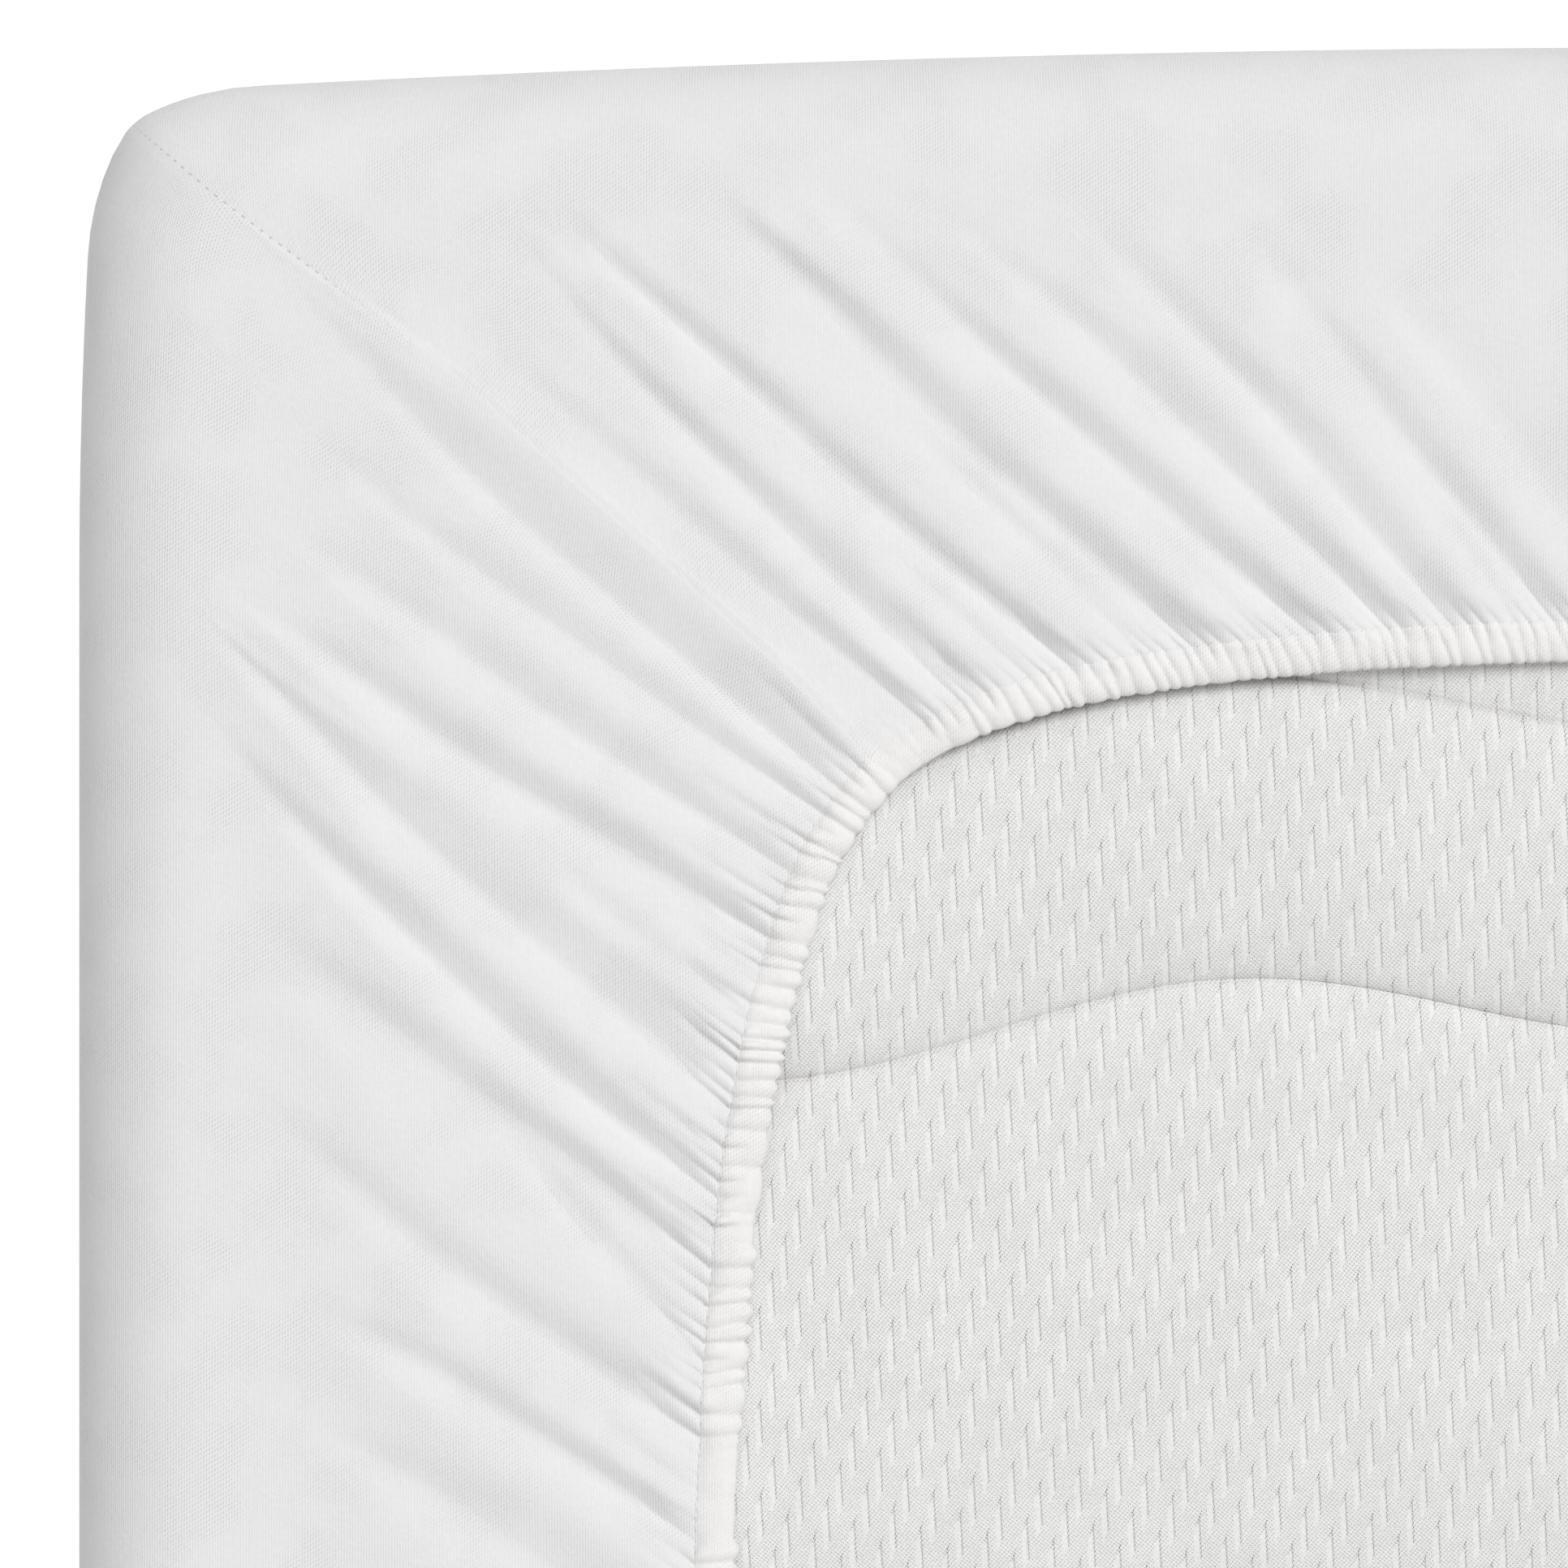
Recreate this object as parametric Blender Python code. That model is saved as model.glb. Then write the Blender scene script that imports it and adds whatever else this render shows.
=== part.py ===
"""A fitted sheet of brushed cotton on a single mattress.

The mattress lies with its sleeping side down, so the skirt of the sheet, which wraps round the edge and is
drawn in by its gathered hem, faces up. X is the width, Y the length, and the origin is the middle of the
footprint.

The whole thing is four mirrored quarters. Places on a quarter are given as distances from its corner seam:
minus towards the middle of the short side, plus towards the middle of the long side.
"""

import math
from bisect import bisect_right
from collections import namedtuple

import bmesh
import bpy
from mathutils import Matrix, Vector

# One millimetre, the unit in which the creases are charted.
MM = 0.001

# The mattress.
MATTRESS_WIDTH = 0.900
MATTRESS_LENGTH = 2.000
MATTRESS_THICKNESS = 0.160
MATTRESS_EDGE_RADIUS = 0.035

# The cloth and how it lies.
CLOTH = 0.0015
EDGE_RADIUS = 0.034
EDGE_CLEARANCE = 0.002
FACE_CLEARANCE = 0.0006
REST_GAP = 0.0003
WRAP_LONG_SIDE = 0.164
WRAP_SHORT_SIDE = 0.159

# The turned hem, measured inwards from its stitch line.
HEM_WIDTH = 0.0120
HEM_CROWN = 0.0050
HEM_HEIGHT = 0.0044
HEM_EDGE_HEIGHT = 0.0030
HEM_LIFT = 0.0006
HEM_RUFFLE = 0.0009
HEM_UNDERCUT = 0.0006

# The quilting of the mattress's upper face. Its channels are one pitch and two pitches wide in turn.
QUILT_PITCH = 0.082
QUILT_DEPTH = 0.0056
QUILT_CROWN = 0.42
QUILT_WAVE_LENGTH = 0.252
QUILT_WAVE_HEIGHT = 0.0106
QUILT_TILT = math.radians(3.0)
QUILT_ORIGIN = (-0.1382, 0.7364)
QUILT_HALF_WIDTH = 0.335
QUILT_FADE = 0.032
QUILT_LINES = tuple(line for line in range(-20, 3) if line % 3 != 2)
QUILT_COLUMNS = 24
QUILT_STEPS = (0.0, 0.06, 0.28, 0.72, 0.94)

# Heights.
MATTRESS_BOTTOM = CLOTH + REST_GAP
MATTRESS_TOP = MATTRESS_BOTTOM + MATTRESS_THICKNESS
CLOTH_TOP = MATTRESS_TOP + FACE_CLEARANCE + CLOTH

# Plan outlines, each a row of arcs from the middle of a short side to the middle of a long side. The first
# and last arcs take the length that is left. The seam is at the middle of the arc named as its corner.
Arc = namedtuple("Arc", "turn_deg length")
OUTLINE_CORNER = 2
OUTLINE_ARCS = (
    Arc(3.0, None),
    Arc(22.0, 0.030),
    Arc(38.0, 0.014),
    Arc(24.0, 0.032),
    Arc(3.0, 0.090),
    Arc(0.0, None),
)
STITCH_CORNER = 5
STITCH_ARCS = (
    Arc(2.7, None),
    Arc(4.5, 0.067),
    Arc(4.3, 0.028),
    Arc(7.2, 0.028),
    Arc(13.5, 0.0255),
    Arc(19.2, 0.0225),
    Arc(11.8, 0.020),
    Arc(8.6, 0.016),
    Arc(7.0, 0.040),
    Arc(5.8, 0.050),
    Arc(4.2, 0.100),
    Arc(1.2, None),
)

# The creases, one row each, in millimetres from the seam. hem and edge are where a crease meets the stitch
# line and the outline, and it bends by bend towards the middle of the long side. The fold beyond it, away
# from the seam, begins at start, a share of the way from the outline to the stitch line, is crest high, and
# is highest at peak, a share of its width counted towards the middle of the long side.
Crease = namedtuple("Crease", "hem edge bend start crest peak")
SHORT_SIDE_CREASES = (
    Crease(17.5, 20.5, 1.5, 0.44, 2.0, 0.52),
    Crease(29.0, 66.3, 4.0, 0.32, 2.7, 0.60),
    Crease(60.3, 77.3, 3.0, 0.22, 3.0, 0.76),
    Crease(93.5, 124.5, 2.0, 0.20, 3.2, 0.59),
    Crease(126.0, 153.4, 3.0, 0.34, 3.0, 0.52),
    Crease(146.7, 176.9, -4.5, 0.33, 2.6, 0.41),
    Crease(163.8, 220.6, -2.5, 0.33, 2.7, 0.55),
    Crease(191.7, 270.3, 1.5, 0.42, 2.3, 0.56),
    Crease(215.0, 295.4, -1.0, 0.45, 2.0, 0.50),
)
LONG_SIDE_CREASES = (
    Crease(12.0, 2.5, 4.5, 0.38, 1.3, 0.45),
    Crease(20.0, 39.1, 4.5, 0.38, 2.4, 0.46),
    Crease(38.7, 73.8, 2.0, 0.33, 3.2, 0.50),
    Crease(57.0, 102.2, 3.5, 0.26, 3.0, 0.45),
    Crease(104.2, 105.3, 4.5, 0.24, 3.3, 0.49),
    Crease(128.8, 131.7, 8.0, 0.33, 2.8, 0.50),
    Crease(148.0, 188.3, -2.0, 0.34, 2.8, 0.74),
    Crease(193.7, 228.5, 5.5, 0.42, 2.4, 0.68),
    Crease(222.0, 296.0, -7.0, 0.42, 2.6, 0.45),
    Crease(256.0, 318.0, -3.0, 0.40, 2.4, 0.50),
)

# The seam lies on the crest of the fold between the first two creases. On its short side the cloth stays low
# as far as a foot close by, and then rises steeply.
SEAM_FOLD_START = 0.28
SEAM_FOLD_CREST_MM = 3.0
SEAM_BEND_MM = -5.0
SEAM_FOOT = 0.003
SEAM_FOOT_RISE = 0.35

# The plainer folds along the middle of a long side.
PLAIN_PITCH = 0.034
PLAIN_START = 0.48
PLAIN_START_SPREAD = 0.08
PLAIN_CREST_MM = 1.9
PLAIN_CREST_SPREAD = 0.3
PLAIN_PEAK = 0.48

# How every fold is shaped, grows and settles into the hem. Its sides are straight up to its round crest.
CREST_ROUNDNESS = 0.4
FOLD_RISE = 0.20
HEM_SETTLE_START = 0.86
HEM_SETTLE = 0.42
QUARTER_VARIATION = 0.22

# Turns, in radians, from one fold to the next of the waves that make them uneven.
START_WAVE = 1.7
CREST_WAVE = 2.3
QUARTER_WAVE = 2.4

# The rings of the mesh: shares of the way from the outline to the stitch line, and steps round an edge.
OUTER_FOLD_ROWS = (0.86, 0.64, 0.46, 0.34)
INNER_FOLD_ROWS = (0.64, 0.40)
SHEET_EDGE_STEPS_DEG = (90, 60, 30, 0)
MATTRESS_EDGE_STEPS_DEG = (90, 45, 0)
SHORT_SIDE_STATIONS = (-0.360, -0.260, -0.170, -0.100, -0.060, -0.037, -0.025, -0.015, -0.007)
LONG_SIDE_STATIONS = (
    *(0.0, 0.007, 0.015, 0.026, 0.039, 0.062, 0.100),
    *(0.160, 0.240, 0.350, 0.480, 0.620, 0.760, 0.890),
)

# The columns of the mesh: a fold has them once it has begun to rise.
RISEN = 0.04
COLUMN_SPACING = 0.030
LEAST_SPACING = 0.001

# Short steps over which the slope of the cloth is taken, along the hem and towards it.
SLOPE_STEP = 0.0008
SLOPE_SHARE = 0.01

STRAIGHT = 1e-9
SHARP_EDGE = math.radians(50)
SHEET_COLOUR = (0.85, 0.85, 0.84)
SHEET_ROUGHNESS = 0.95
MATTRESS_COLOUR = (0.80, 0.80, 0.80)
MATTRESS_ROUGHNESS = 0.85

# The quarters in order round the loop: the sign of X and of Y, and whether the loop runs from the short side.
Quarter = namedtuple("Quarter", "x y from_short")
QUARTERS = (Quarter(1, 1, True), Quarter(1, -1, False), Quarter(-1, -1, True), Quarter(-1, 1, False))


def smooth(share):
    """Eases a share from 0 to 1."""
    share = min(1.0, max(0.0, share))
    return share * share * (3 - 2 * share)


def arc_step(heading, turn, length):
    """Where an arc ends, counted from its start."""
    if abs(turn) < STRAIGHT:
        return Vector((math.cos(heading), math.sin(heading))) * length
    radius = length / turn
    end = heading + turn
    return Vector((math.sin(end) - math.sin(heading), math.cos(heading) - math.cos(end))) * radius


class QuarterCurve:
    """The plan outline of the quarter at -X, +Y. It turns left, from the -X direction to the -Y direction."""

    def __init__(self, half_width, half_length, arcs, corner):
        turns = [math.radians(arc.turn_deg) for arc in arcs]
        headings = [math.pi + sum(turns[:index]) for index in range(len(arcs))]
        lengths = [arc.length for arc in arcs]
        middle = Vector((0.0, 0.0))
        for heading, turn, length in zip(headings[1:-1], turns[1:-1], lengths[1:-1]):
            middle += arc_step(heading, turn, length)
        first = arc_step(headings[0], turns[0], 1.0)
        last = arc_step(headings[-1], turns[-1], 1.0)
        ends = Matrix(((first.x, last.x), (first.y, last.y)))
        lengths[0], lengths[-1] = ends.inverted() @ (Vector((-half_width, -half_length)) - middle)
        self.seam_at = sum(lengths[:corner]) + lengths[corner] / 2
        self.short_length = self.seam_at
        self.long_length = sum(lengths) - self.seam_at
        self.pieces = []
        point = Vector((0.0, half_length))
        start = 0.0
        for heading, turn, length in zip(headings, turns, lengths):
            self.pieces.append((start, length, heading, turn / length, point.copy()))
            point += arc_step(heading, turn, length)
            start += length

    def place(self, from_seam):
        """The point at this distance from the seam, and the heading there."""
        along = from_seam + self.seam_at
        for start, length, heading, curvature, point in self.pieces:
            if along <= start + length:
                break
        run = along - start
        return point + arc_step(heading, curvature * run, run), heading + curvature * run


OUTLINE = QuarterCurve(
    MATTRESS_WIDTH / 2 + EDGE_CLEARANCE + CLOTH,
    MATTRESS_LENGTH / 2 + EDGE_CLEARANCE + CLOTH,
    OUTLINE_ARCS,
    OUTLINE_CORNER,
)
STITCH_LINE = QuarterCurve(
    MATTRESS_WIDTH / 2 + EDGE_CLEARANCE + CLOTH - WRAP_LONG_SIDE,
    MATTRESS_LENGTH / 2 + EDGE_CLEARANCE + CLOTH - WRAP_SHORT_SIDE,
    STITCH_ARCS,
    STITCH_CORNER,
)


# A knot is a place whose way across the cloth is known: a crease, the seam, or the middle of a side.
Knot = namedtuple("Knot", "hem edge bend")

# A fold lies between two creases, and low and high are where they meet the stitch line. foot is the height of
# the seam's foot as a share of the crest, and is 0 on every other fold.
Fold = namedtuple("Fold", "low high peak start crest foot")


def plain_creases():
    """The creases beyond the last charted one, evenly spread as far as the middle of the long side."""
    last = LONG_SIDE_CREASES[-1]
    hem_run = STITCH_LINE.long_length / MM - last.hem
    edge_run = OUTLINE.long_length / MM - last.edge
    count = round(hem_run * MM / PLAIN_PITCH)
    for index in range(1, count):
        share = index / count
        yield Crease(
            last.hem + hem_run * share,
            last.edge + edge_run * share,
            0.0,
            PLAIN_START + PLAIN_START_SPREAD * math.sin(START_WAVE * index),
            PLAIN_CREST_MM * (1 + PLAIN_CREST_SPREAD * math.sin(CREST_WAVE * index)),
            PLAIN_PEAK,
        )


SHORT_ROWS = list(reversed(SHORT_SIDE_CREASES))
LONG_ROWS = [*LONG_SIDE_CREASES, *plain_creases()]


def quarter_knots():
    """The knots of a quarter, from the middle of the short side to the middle of the long side."""
    return [
        Knot(-STITCH_LINE.short_length, -OUTLINE.short_length, 0.0),
        *[Knot(-row.hem * MM, -row.edge * MM, row.bend * MM) for row in SHORT_ROWS],
        Knot(0.0, 0.0, SEAM_BEND_MM * MM),
        *[Knot(row.hem * MM, row.edge * MM, row.bend * MM) for row in LONG_ROWS],
        Knot(STITCH_LINE.long_length, OUTLINE.long_length, 0.0),
    ]


KNOTS = quarter_knots()


def quarter_folds():
    """The folds of a quarter in the same order."""
    creases = [knot.hem for knot in KNOTS if knot.hem != 0]
    low, high = -SHORT_ROWS[-1].hem, LONG_ROWS[0].hem
    seam = Crease(0.0, 0.0, SEAM_BEND_MM, SEAM_FOLD_START, SEAM_FOLD_CREST_MM, -low / (high - low))
    rows = [*SHORT_ROWS, seam, *LONG_ROWS]
    return [
        Fold(low, high, row.peak, row.start, row.crest * MM, SEAM_FOOT_RISE if row is seam else 0.0)
        for low, high, row in zip(creases, creases[1:], rows)
    ]


FOLDS = quarter_folds()


def interpolate(place, stops, values):
    """The value at a place between two stops."""
    index = min(max(bisect_right(stops, place), 1), len(stops) - 1)
    share = (place - stops[index - 1]) / (stops[index] - stops[index - 1])
    return values[index - 1] + share * (values[index] - values[index - 1])


def edge_at(hem):
    """The place on the outline from which the cloth runs to this place on the stitch line."""
    return interpolate(hem, [knot.hem for knot in KNOTS], [knot.edge for knot in KNOTS])


def hem_at(edge):
    """The place on the stitch line to which the cloth runs from this place on the outline."""
    return interpolate(edge, [knot.edge for knot in KNOTS], [knot.hem for knot in KNOTS])


def bend_at(hem):
    """How far the cloth bends sideways on its way to this place on the stitch line."""
    return interpolate(hem, [knot.hem for knot in KNOTS], [knot.bend for knot in KNOTS])


def rise(fold, across):
    """How far a fold has risen, from 0 to 1, at a share of the way from the outline to the stitch line."""
    grown = smooth((across - fold.start) / FOLD_RISE)
    settled = smooth((across - HEM_SETTLE_START) / (1 - HEM_SETTLE_START))
    return grown * (1 - HEM_SETTLE * settled)


def profile(fold, hem):
    """The height of a fold's section at this place, from 0 in its creases to 1 on its crest."""
    share = (hem - fold.low) / (fold.high - fold.low)
    nearer = max(0.0, share / fold.peak if share < fold.peak else (1 - share) / (1 - fold.peak))
    if fold.foot and hem < 0:
        return interpolate(hem, (fold.low, -SEAM_FOOT, 0.0), (0.0, fold.foot, 1.0))
    past = max(0.0, nearer - (1 - CREST_ROUNDNESS))
    return (nearer - past * past / (2 * CREST_ROUNDNESS)) / (1 - CREST_ROUNDNESS / 2)


def fold_height(quarter, hem, across):
    """The height of the cloth over its lowest creases."""
    index = min(bisect_right([fold.high for fold in FOLDS], hem), len(FOLDS) - 1)
    fold = FOLDS[index]
    unlike = math.sin(QUARTER_WAVE * index) * QUARTERS.index(quarter) / len(QUARTERS)
    varied = 1 + QUARTER_VARIATION * unlike
    return fold.crest * varied * rise(fold, across) * profile(fold, hem)


def outline_place(edge, inset):
    """A plan point this far inside the outline, on the way to the stitch line."""
    point, heading = OUTLINE.place(edge)
    target, _ = STITCH_LINE.place(hem_at(edge))
    inward = Vector((-math.sin(heading), math.cos(heading)))
    way = target - point
    return point + way * (inset / way.dot(inward))


def face_point(quarter, hem, across):
    """A point of the upper cloth, at a share of the way from the outline to the stitch line."""
    start, heading = OUTLINE.place(edge_at(hem))
    end, _ = STITCH_LINE.place(hem)
    inward = Vector((-math.sin(heading), math.cos(heading)))
    rim = EDGE_RADIUS / (end - start).dot(inward)
    bow = bend_at(hem) * math.sin(math.pi * max(0.0, across - rim) / (1 - rim))
    plan = start.lerp(end, across) + Vector((math.cos(heading), math.sin(heading))) * bow
    return Vector((plan.x, plan.y, CLOTH_TOP + fold_height(quarter, hem, across)))


def face_normal(quarter, hem, across):
    """The direction square to the upper cloth."""
    low = max(-STITCH_LINE.short_length, hem - SLOPE_STEP)
    high = min(STITCH_LINE.long_length, hem + SLOPE_STEP)
    along = face_point(quarter, high, across) - face_point(quarter, low, across)
    inwards = face_point(quarter, hem, across) - face_point(quarter, hem, across - SLOPE_SHARE)
    normal = inwards.cross(along)
    return normal.normalized() if normal.z > 0 else -normal.normalized()


def hem_point(quarter, hem, inwards, height):
    """A point of the hem, this far inside the stitch line and this far over the mattress."""
    point, heading = STITCH_LINE.place(hem)
    inward = Vector((-math.sin(heading), math.cos(heading)))
    plan = point + inward * inwards
    return Vector((plan.x, plan.y, MATTRESS_TOP + height))


def mirrored(quarter, point):
    """A point of the first quarter, moved to this one."""
    return Vector((point.x * quarter.x, point.y * quarter.y, point.z))


def loop_key(quarter, hem):
    """The distance along the whole stitch line, counted round the loop."""
    whole = STITCH_LINE.short_length + STITCH_LINE.long_length
    number = QUARTERS.index(quarter)
    within = hem + STITCH_LINE.short_length if quarter.from_short else STITCH_LINE.long_length - hem
    return number * whole + within


def round_loop(places):
    """Each quarter with its places, in order round the loop. An end that two quarters share is taken once."""
    for quarter in QUARTERS:
        ordered = sorted(places) if quarter.from_short else sorted(places, reverse=True)
        for place in ordered[:-1]:
            yield quarter, place


def crest_columns(fold):
    """The places on a fold between its creases at which the mesh has a column."""
    width = fold.high - fold.low
    crest = fold.low + fold.peak * width
    if fold.foot:
        return (-SEAM_FOOT, crest)
    if fold.low > LONG_SIDE_CREASES[-1].hem * MM:
        return (crest,)
    flank = 1 - CREST_ROUNDNESS
    return (fold.low + flank * (crest - fold.low), crest, fold.high - flank * (fold.high - crest))


def fold_columns(across):
    """The places on the stitch line at which the mesh has a column at this row: at creases, over crests, and
    at the outline's own places where the cloth is still smooth."""
    columns = set()
    for fold in FOLDS:
        if across >= fold.start + RISEN:
            columns.update((fold.low, *crest_columns(fold), fold.high))
    for place in [hem_at(edge) for edge in edge_places()]:
        if all(abs(place - column) > COLUMN_SPACING for column in columns):
            columns.add(place)
    ends = (-STITCH_LINE.short_length, STITCH_LINE.long_length)
    low, high = ends[0] + LEAST_SPACING, ends[1] - LEAST_SPACING
    inner = [column for column in sorted(columns) if low < column < high]
    return [ends[0], *inner, ends[1]]


def ring(bm, places, point_of):
    """A closed ring of vertices, each with its key."""
    return [
        (loop_key(quarter, key_place), bm.verts.new(mirrored(quarter, point)))
        for quarter, place in round_loop(places)
        for key_place, point in [point_of(quarter, place)]
    ]


def zip_rings(bm, lower, upper, flip=False):
    """Joins two closed rings with triangles, always stepping to the vertex whose key comes first."""
    whole = (STITCH_LINE.short_length + STITCH_LINE.long_length) * len(QUARTERS)
    steps_low = [*lower, (lower[0][0] + whole, lower[0][1])]
    steps_up = [*upper, (upper[0][0] + whole, upper[0][1])]
    low = up = 0
    while low < len(lower) or up < len(upper):
        can_low = low < len(lower)
        can_up = up < len(upper)
        if can_low and (not can_up or steps_low[low + 1][0] <= steps_up[up + 1][0]):
            corners = [steps_low[low][1], steps_low[low + 1][1], steps_up[up][1]]
            low += 1
        else:
            corners = [steps_low[low][1], steps_up[up + 1][1], steps_up[up][1]]
            up += 1
        bm.faces.new(reversed(corners) if flip else corners)


def zip_all(bm, rings, flip=False):
    """Joins each ring to the next."""
    for lower, upper in zip(rings, rings[1:]):
        zip_rings(bm, lower, upper, flip)


def outer_row(bm, across):
    """A row on the outside of the upper cloth."""
    return ring(bm, fold_columns(across), lambda quarter, hem: (hem, face_point(quarter, hem, across)))


def inner_row(bm, across):
    """The same row on the inside of the cloth."""
    return ring(
        bm,
        fold_columns(across),
        lambda quarter, hem: (
            hem,
            face_point(quarter, hem, across) - face_normal(quarter, hem, across) * CLOTH,
        ),
    )


def hem_row(bm, inwards, height, ruffle):
    """A row along the hem, lifted at every second column, as its gathers are."""
    columns = fold_columns(1.0)
    lifted = {hem: ruffle * (index % 2) for index, hem in enumerate(columns)}
    return ring(
        bm,
        columns,
        lambda quarter, hem: (hem, hem_point(quarter, hem, inwards, height + lifted[hem])),
    )


def edge_places():
    """The places on the outline at which the mesh has a column."""
    ends = (-OUTLINE.short_length, OUTLINE.long_length)
    return [ends[0], *SHORT_SIDE_STATIONS, *LONG_SIDE_STATIONS, ends[1]]


def edge_row(bm, angle_deg, centre_inset, centre_height, radius, downwards):
    """A row round a soft edge: 90 degrees is where it meets the flat face, and 0 where it meets the wall."""
    angle = math.radians(angle_deg)
    inset = centre_inset - radius * math.cos(angle)
    height = centre_height + radius * math.sin(angle) * (-1 if downwards else 1)

    def point_of(quarter, edge):
        plan = outline_place(edge, inset)
        return hem_at(edge), Vector((plan.x, plan.y, height))

    return ring(bm, edge_places(), point_of)


def edge_rows(bm, steps_deg, centre_inset, radius, low_centre, high_centre):
    """The rows from the upper face's rim, round the upper edge, down the wall and round the lower edge."""
    upper = [edge_row(bm, angle, centre_inset, high_centre, radius, False) for angle in steps_deg]
    lower = [edge_row(bm, angle, centre_inset, low_centre, radius, True) for angle in reversed(steps_deg)]
    return upper + lower


def cap(bm, row, upwards):
    """A flat face inside a ring."""
    corners = [vertex for _, vertex in row]
    bm.faces.new(corners if upwards else reversed(corners))


def finish_object(name, bm, colour, roughness):
    """Makes the named object, with its own plain material."""
    bmesh.ops.triangulate(bm, faces=bm.faces[:])
    bmesh.ops.recalc_face_normals(bm, faces=bm.faces[:])
    mesh = bpy.data.meshes.new(name)
    bm.to_mesh(mesh)
    bm.free()
    mesh.shade_smooth()
    mesh.set_sharp_from_angle(angle=SHARP_EDGE)
    material = bpy.data.materials.new(name + "_cloth")
    material.use_nodes = True
    shader = material.node_tree.nodes["Principled BSDF"]
    shader.inputs["Base Color"].default_value = (*colour, 1.0)
    shader.inputs["Roughness"].default_value = roughness
    mesh.materials.append(material)
    obj = bpy.data.objects.new(name, mesh)
    bpy.context.scene.collection.objects.link(obj)


def make_sheet():
    """One thin shell: the outside and the inside of the cloth, joined round the hem's edge."""
    bm = bmesh.new()
    steps = SHEET_EDGE_STEPS_DEG
    high_centre = CLOTH_TOP - EDGE_RADIUS
    hem_bottom = hem_row(bm, HEM_WIDTH - HEM_UNDERCUT, HEM_LIFT, 0.0)
    outer = [
        hem_bottom,
        hem_row(bm, HEM_WIDTH, HEM_EDGE_HEIGHT, HEM_RUFFLE),
        hem_row(bm, HEM_CROWN, HEM_HEIGHT, HEM_RUFFLE),
        outer_row(bm, 1.0),
        *[outer_row(bm, across) for across in OUTER_FOLD_ROWS],
        *edge_rows(bm, steps, EDGE_RADIUS, EDGE_RADIUS, EDGE_RADIUS, high_centre),
    ]
    inner = [
        hem_bottom,
        *[inner_row(bm, across) for across in (1.0, *INNER_FOLD_ROWS)],
        *edge_rows(bm, steps, EDGE_RADIUS, EDGE_RADIUS - CLOTH, EDGE_RADIUS, high_centre),
    ]
    zip_all(bm, outer, flip=True)
    zip_all(bm, inner)
    cap(bm, outer[-1], upwards=False)
    cap(bm, inner[-1], upwards=True)
    finish_object("sheet", bm, SHEET_COLOUR, SHEET_ROUGHNESS)


def quilt_depth(share):
    """How far the face is drawn down at a share of the way from one quilting line to the next."""
    return QUILT_DEPTH * (1 - math.sin(math.pi * share) ** QUILT_CROWN)


def quilt_point(line, column, depth):
    """A point of the quilted face, this deep: line counts along the mattress, and column from the left."""
    x = -QUILT_HALF_WIDTH + 2 * QUILT_HALF_WIDTH * column / QUILT_COLUMNS
    from_origin = x - QUILT_ORIGIN[0]
    wave = QUILT_WAVE_HEIGHT * math.cos(2 * math.pi * from_origin / QUILT_WAVE_LENGTH)
    y = QUILT_ORIGIN[1] + line * QUILT_PITCH + wave + math.tan(QUILT_TILT) * from_origin
    fade = smooth((QUILT_HALF_WIDTH - abs(x)) / QUILT_FADE)
    return Vector((x, y, MATTRESS_TOP - depth * fade))


def quilted_field(bm):
    """The wavy channels, as a grid of rows along the quilting lines. Returns the edges round the field."""
    rows = [
        (line + share * (after - line), quilt_depth(share))
        for line, after in zip(QUILT_LINES, QUILT_LINES[1:])
        for share in QUILT_STEPS
    ]
    rows[0] = (rows[0][0], 0.0)
    rows.append((QUILT_LINES[-1], 0.0))
    grid = [
        [bm.verts.new(quilt_point(line, column, depth)) for column in range(QUILT_COLUMNS + 1)]
        for line, depth in rows
    ]
    for near, far in zip(grid, grid[1:]):
        for column in range(QUILT_COLUMNS):
            bm.faces.new((near[column], near[column + 1], far[column + 1], far[column]))
    return [edge for edge in bm.edges if len(edge.link_faces) == 1]


def make_mattress():
    """A soft-edged block with a quilted field in its upper face."""
    bm = bmesh.new()
    rim = quilted_field(bm)
    high_centre = MATTRESS_TOP - MATTRESS_EDGE_RADIUS
    low_centre = MATTRESS_BOTTOM + MATTRESS_EDGE_RADIUS
    inset = CLOTH + EDGE_CLEARANCE + MATTRESS_EDGE_RADIUS
    rows = edge_rows(bm, MATTRESS_EDGE_STEPS_DEG, inset, MATTRESS_EDGE_RADIUS, low_centre, high_centre)
    zip_all(bm, rows, flip=True)
    cap(bm, rows[-1], upwards=False)
    top = [vertex for _, vertex in rows[0]]
    rim += [bm.edges.get((near, far)) for near, far in zip(top, top[1:] + top[:1])]
    bmesh.ops.triangle_fill(bm, use_beauty=True, edges=rim)
    finish_object("mattress", bm, MATTRESS_COLOUR, MATTRESS_ROUGHNESS)


def main():
    for old in list(bpy.data.objects):
        bpy.data.objects.remove(old)
    make_sheet()
    make_mattress()


main()
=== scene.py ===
"""A white fitted sheet of brushed cotton, gathered by its hem over the quilted face of a mattress.

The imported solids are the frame. The skirt with its folds, the gathered hem, its stitches and the quilted
ticking are made here in finer detail over the same named sizes.

Places on a quarter are distances along the stitch line from the corner seam, in metres: minus towards the
middle of the short side, plus towards the middle of the long side. The four quarters mirror each other.
"""

import math
from collections import namedtuple

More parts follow.
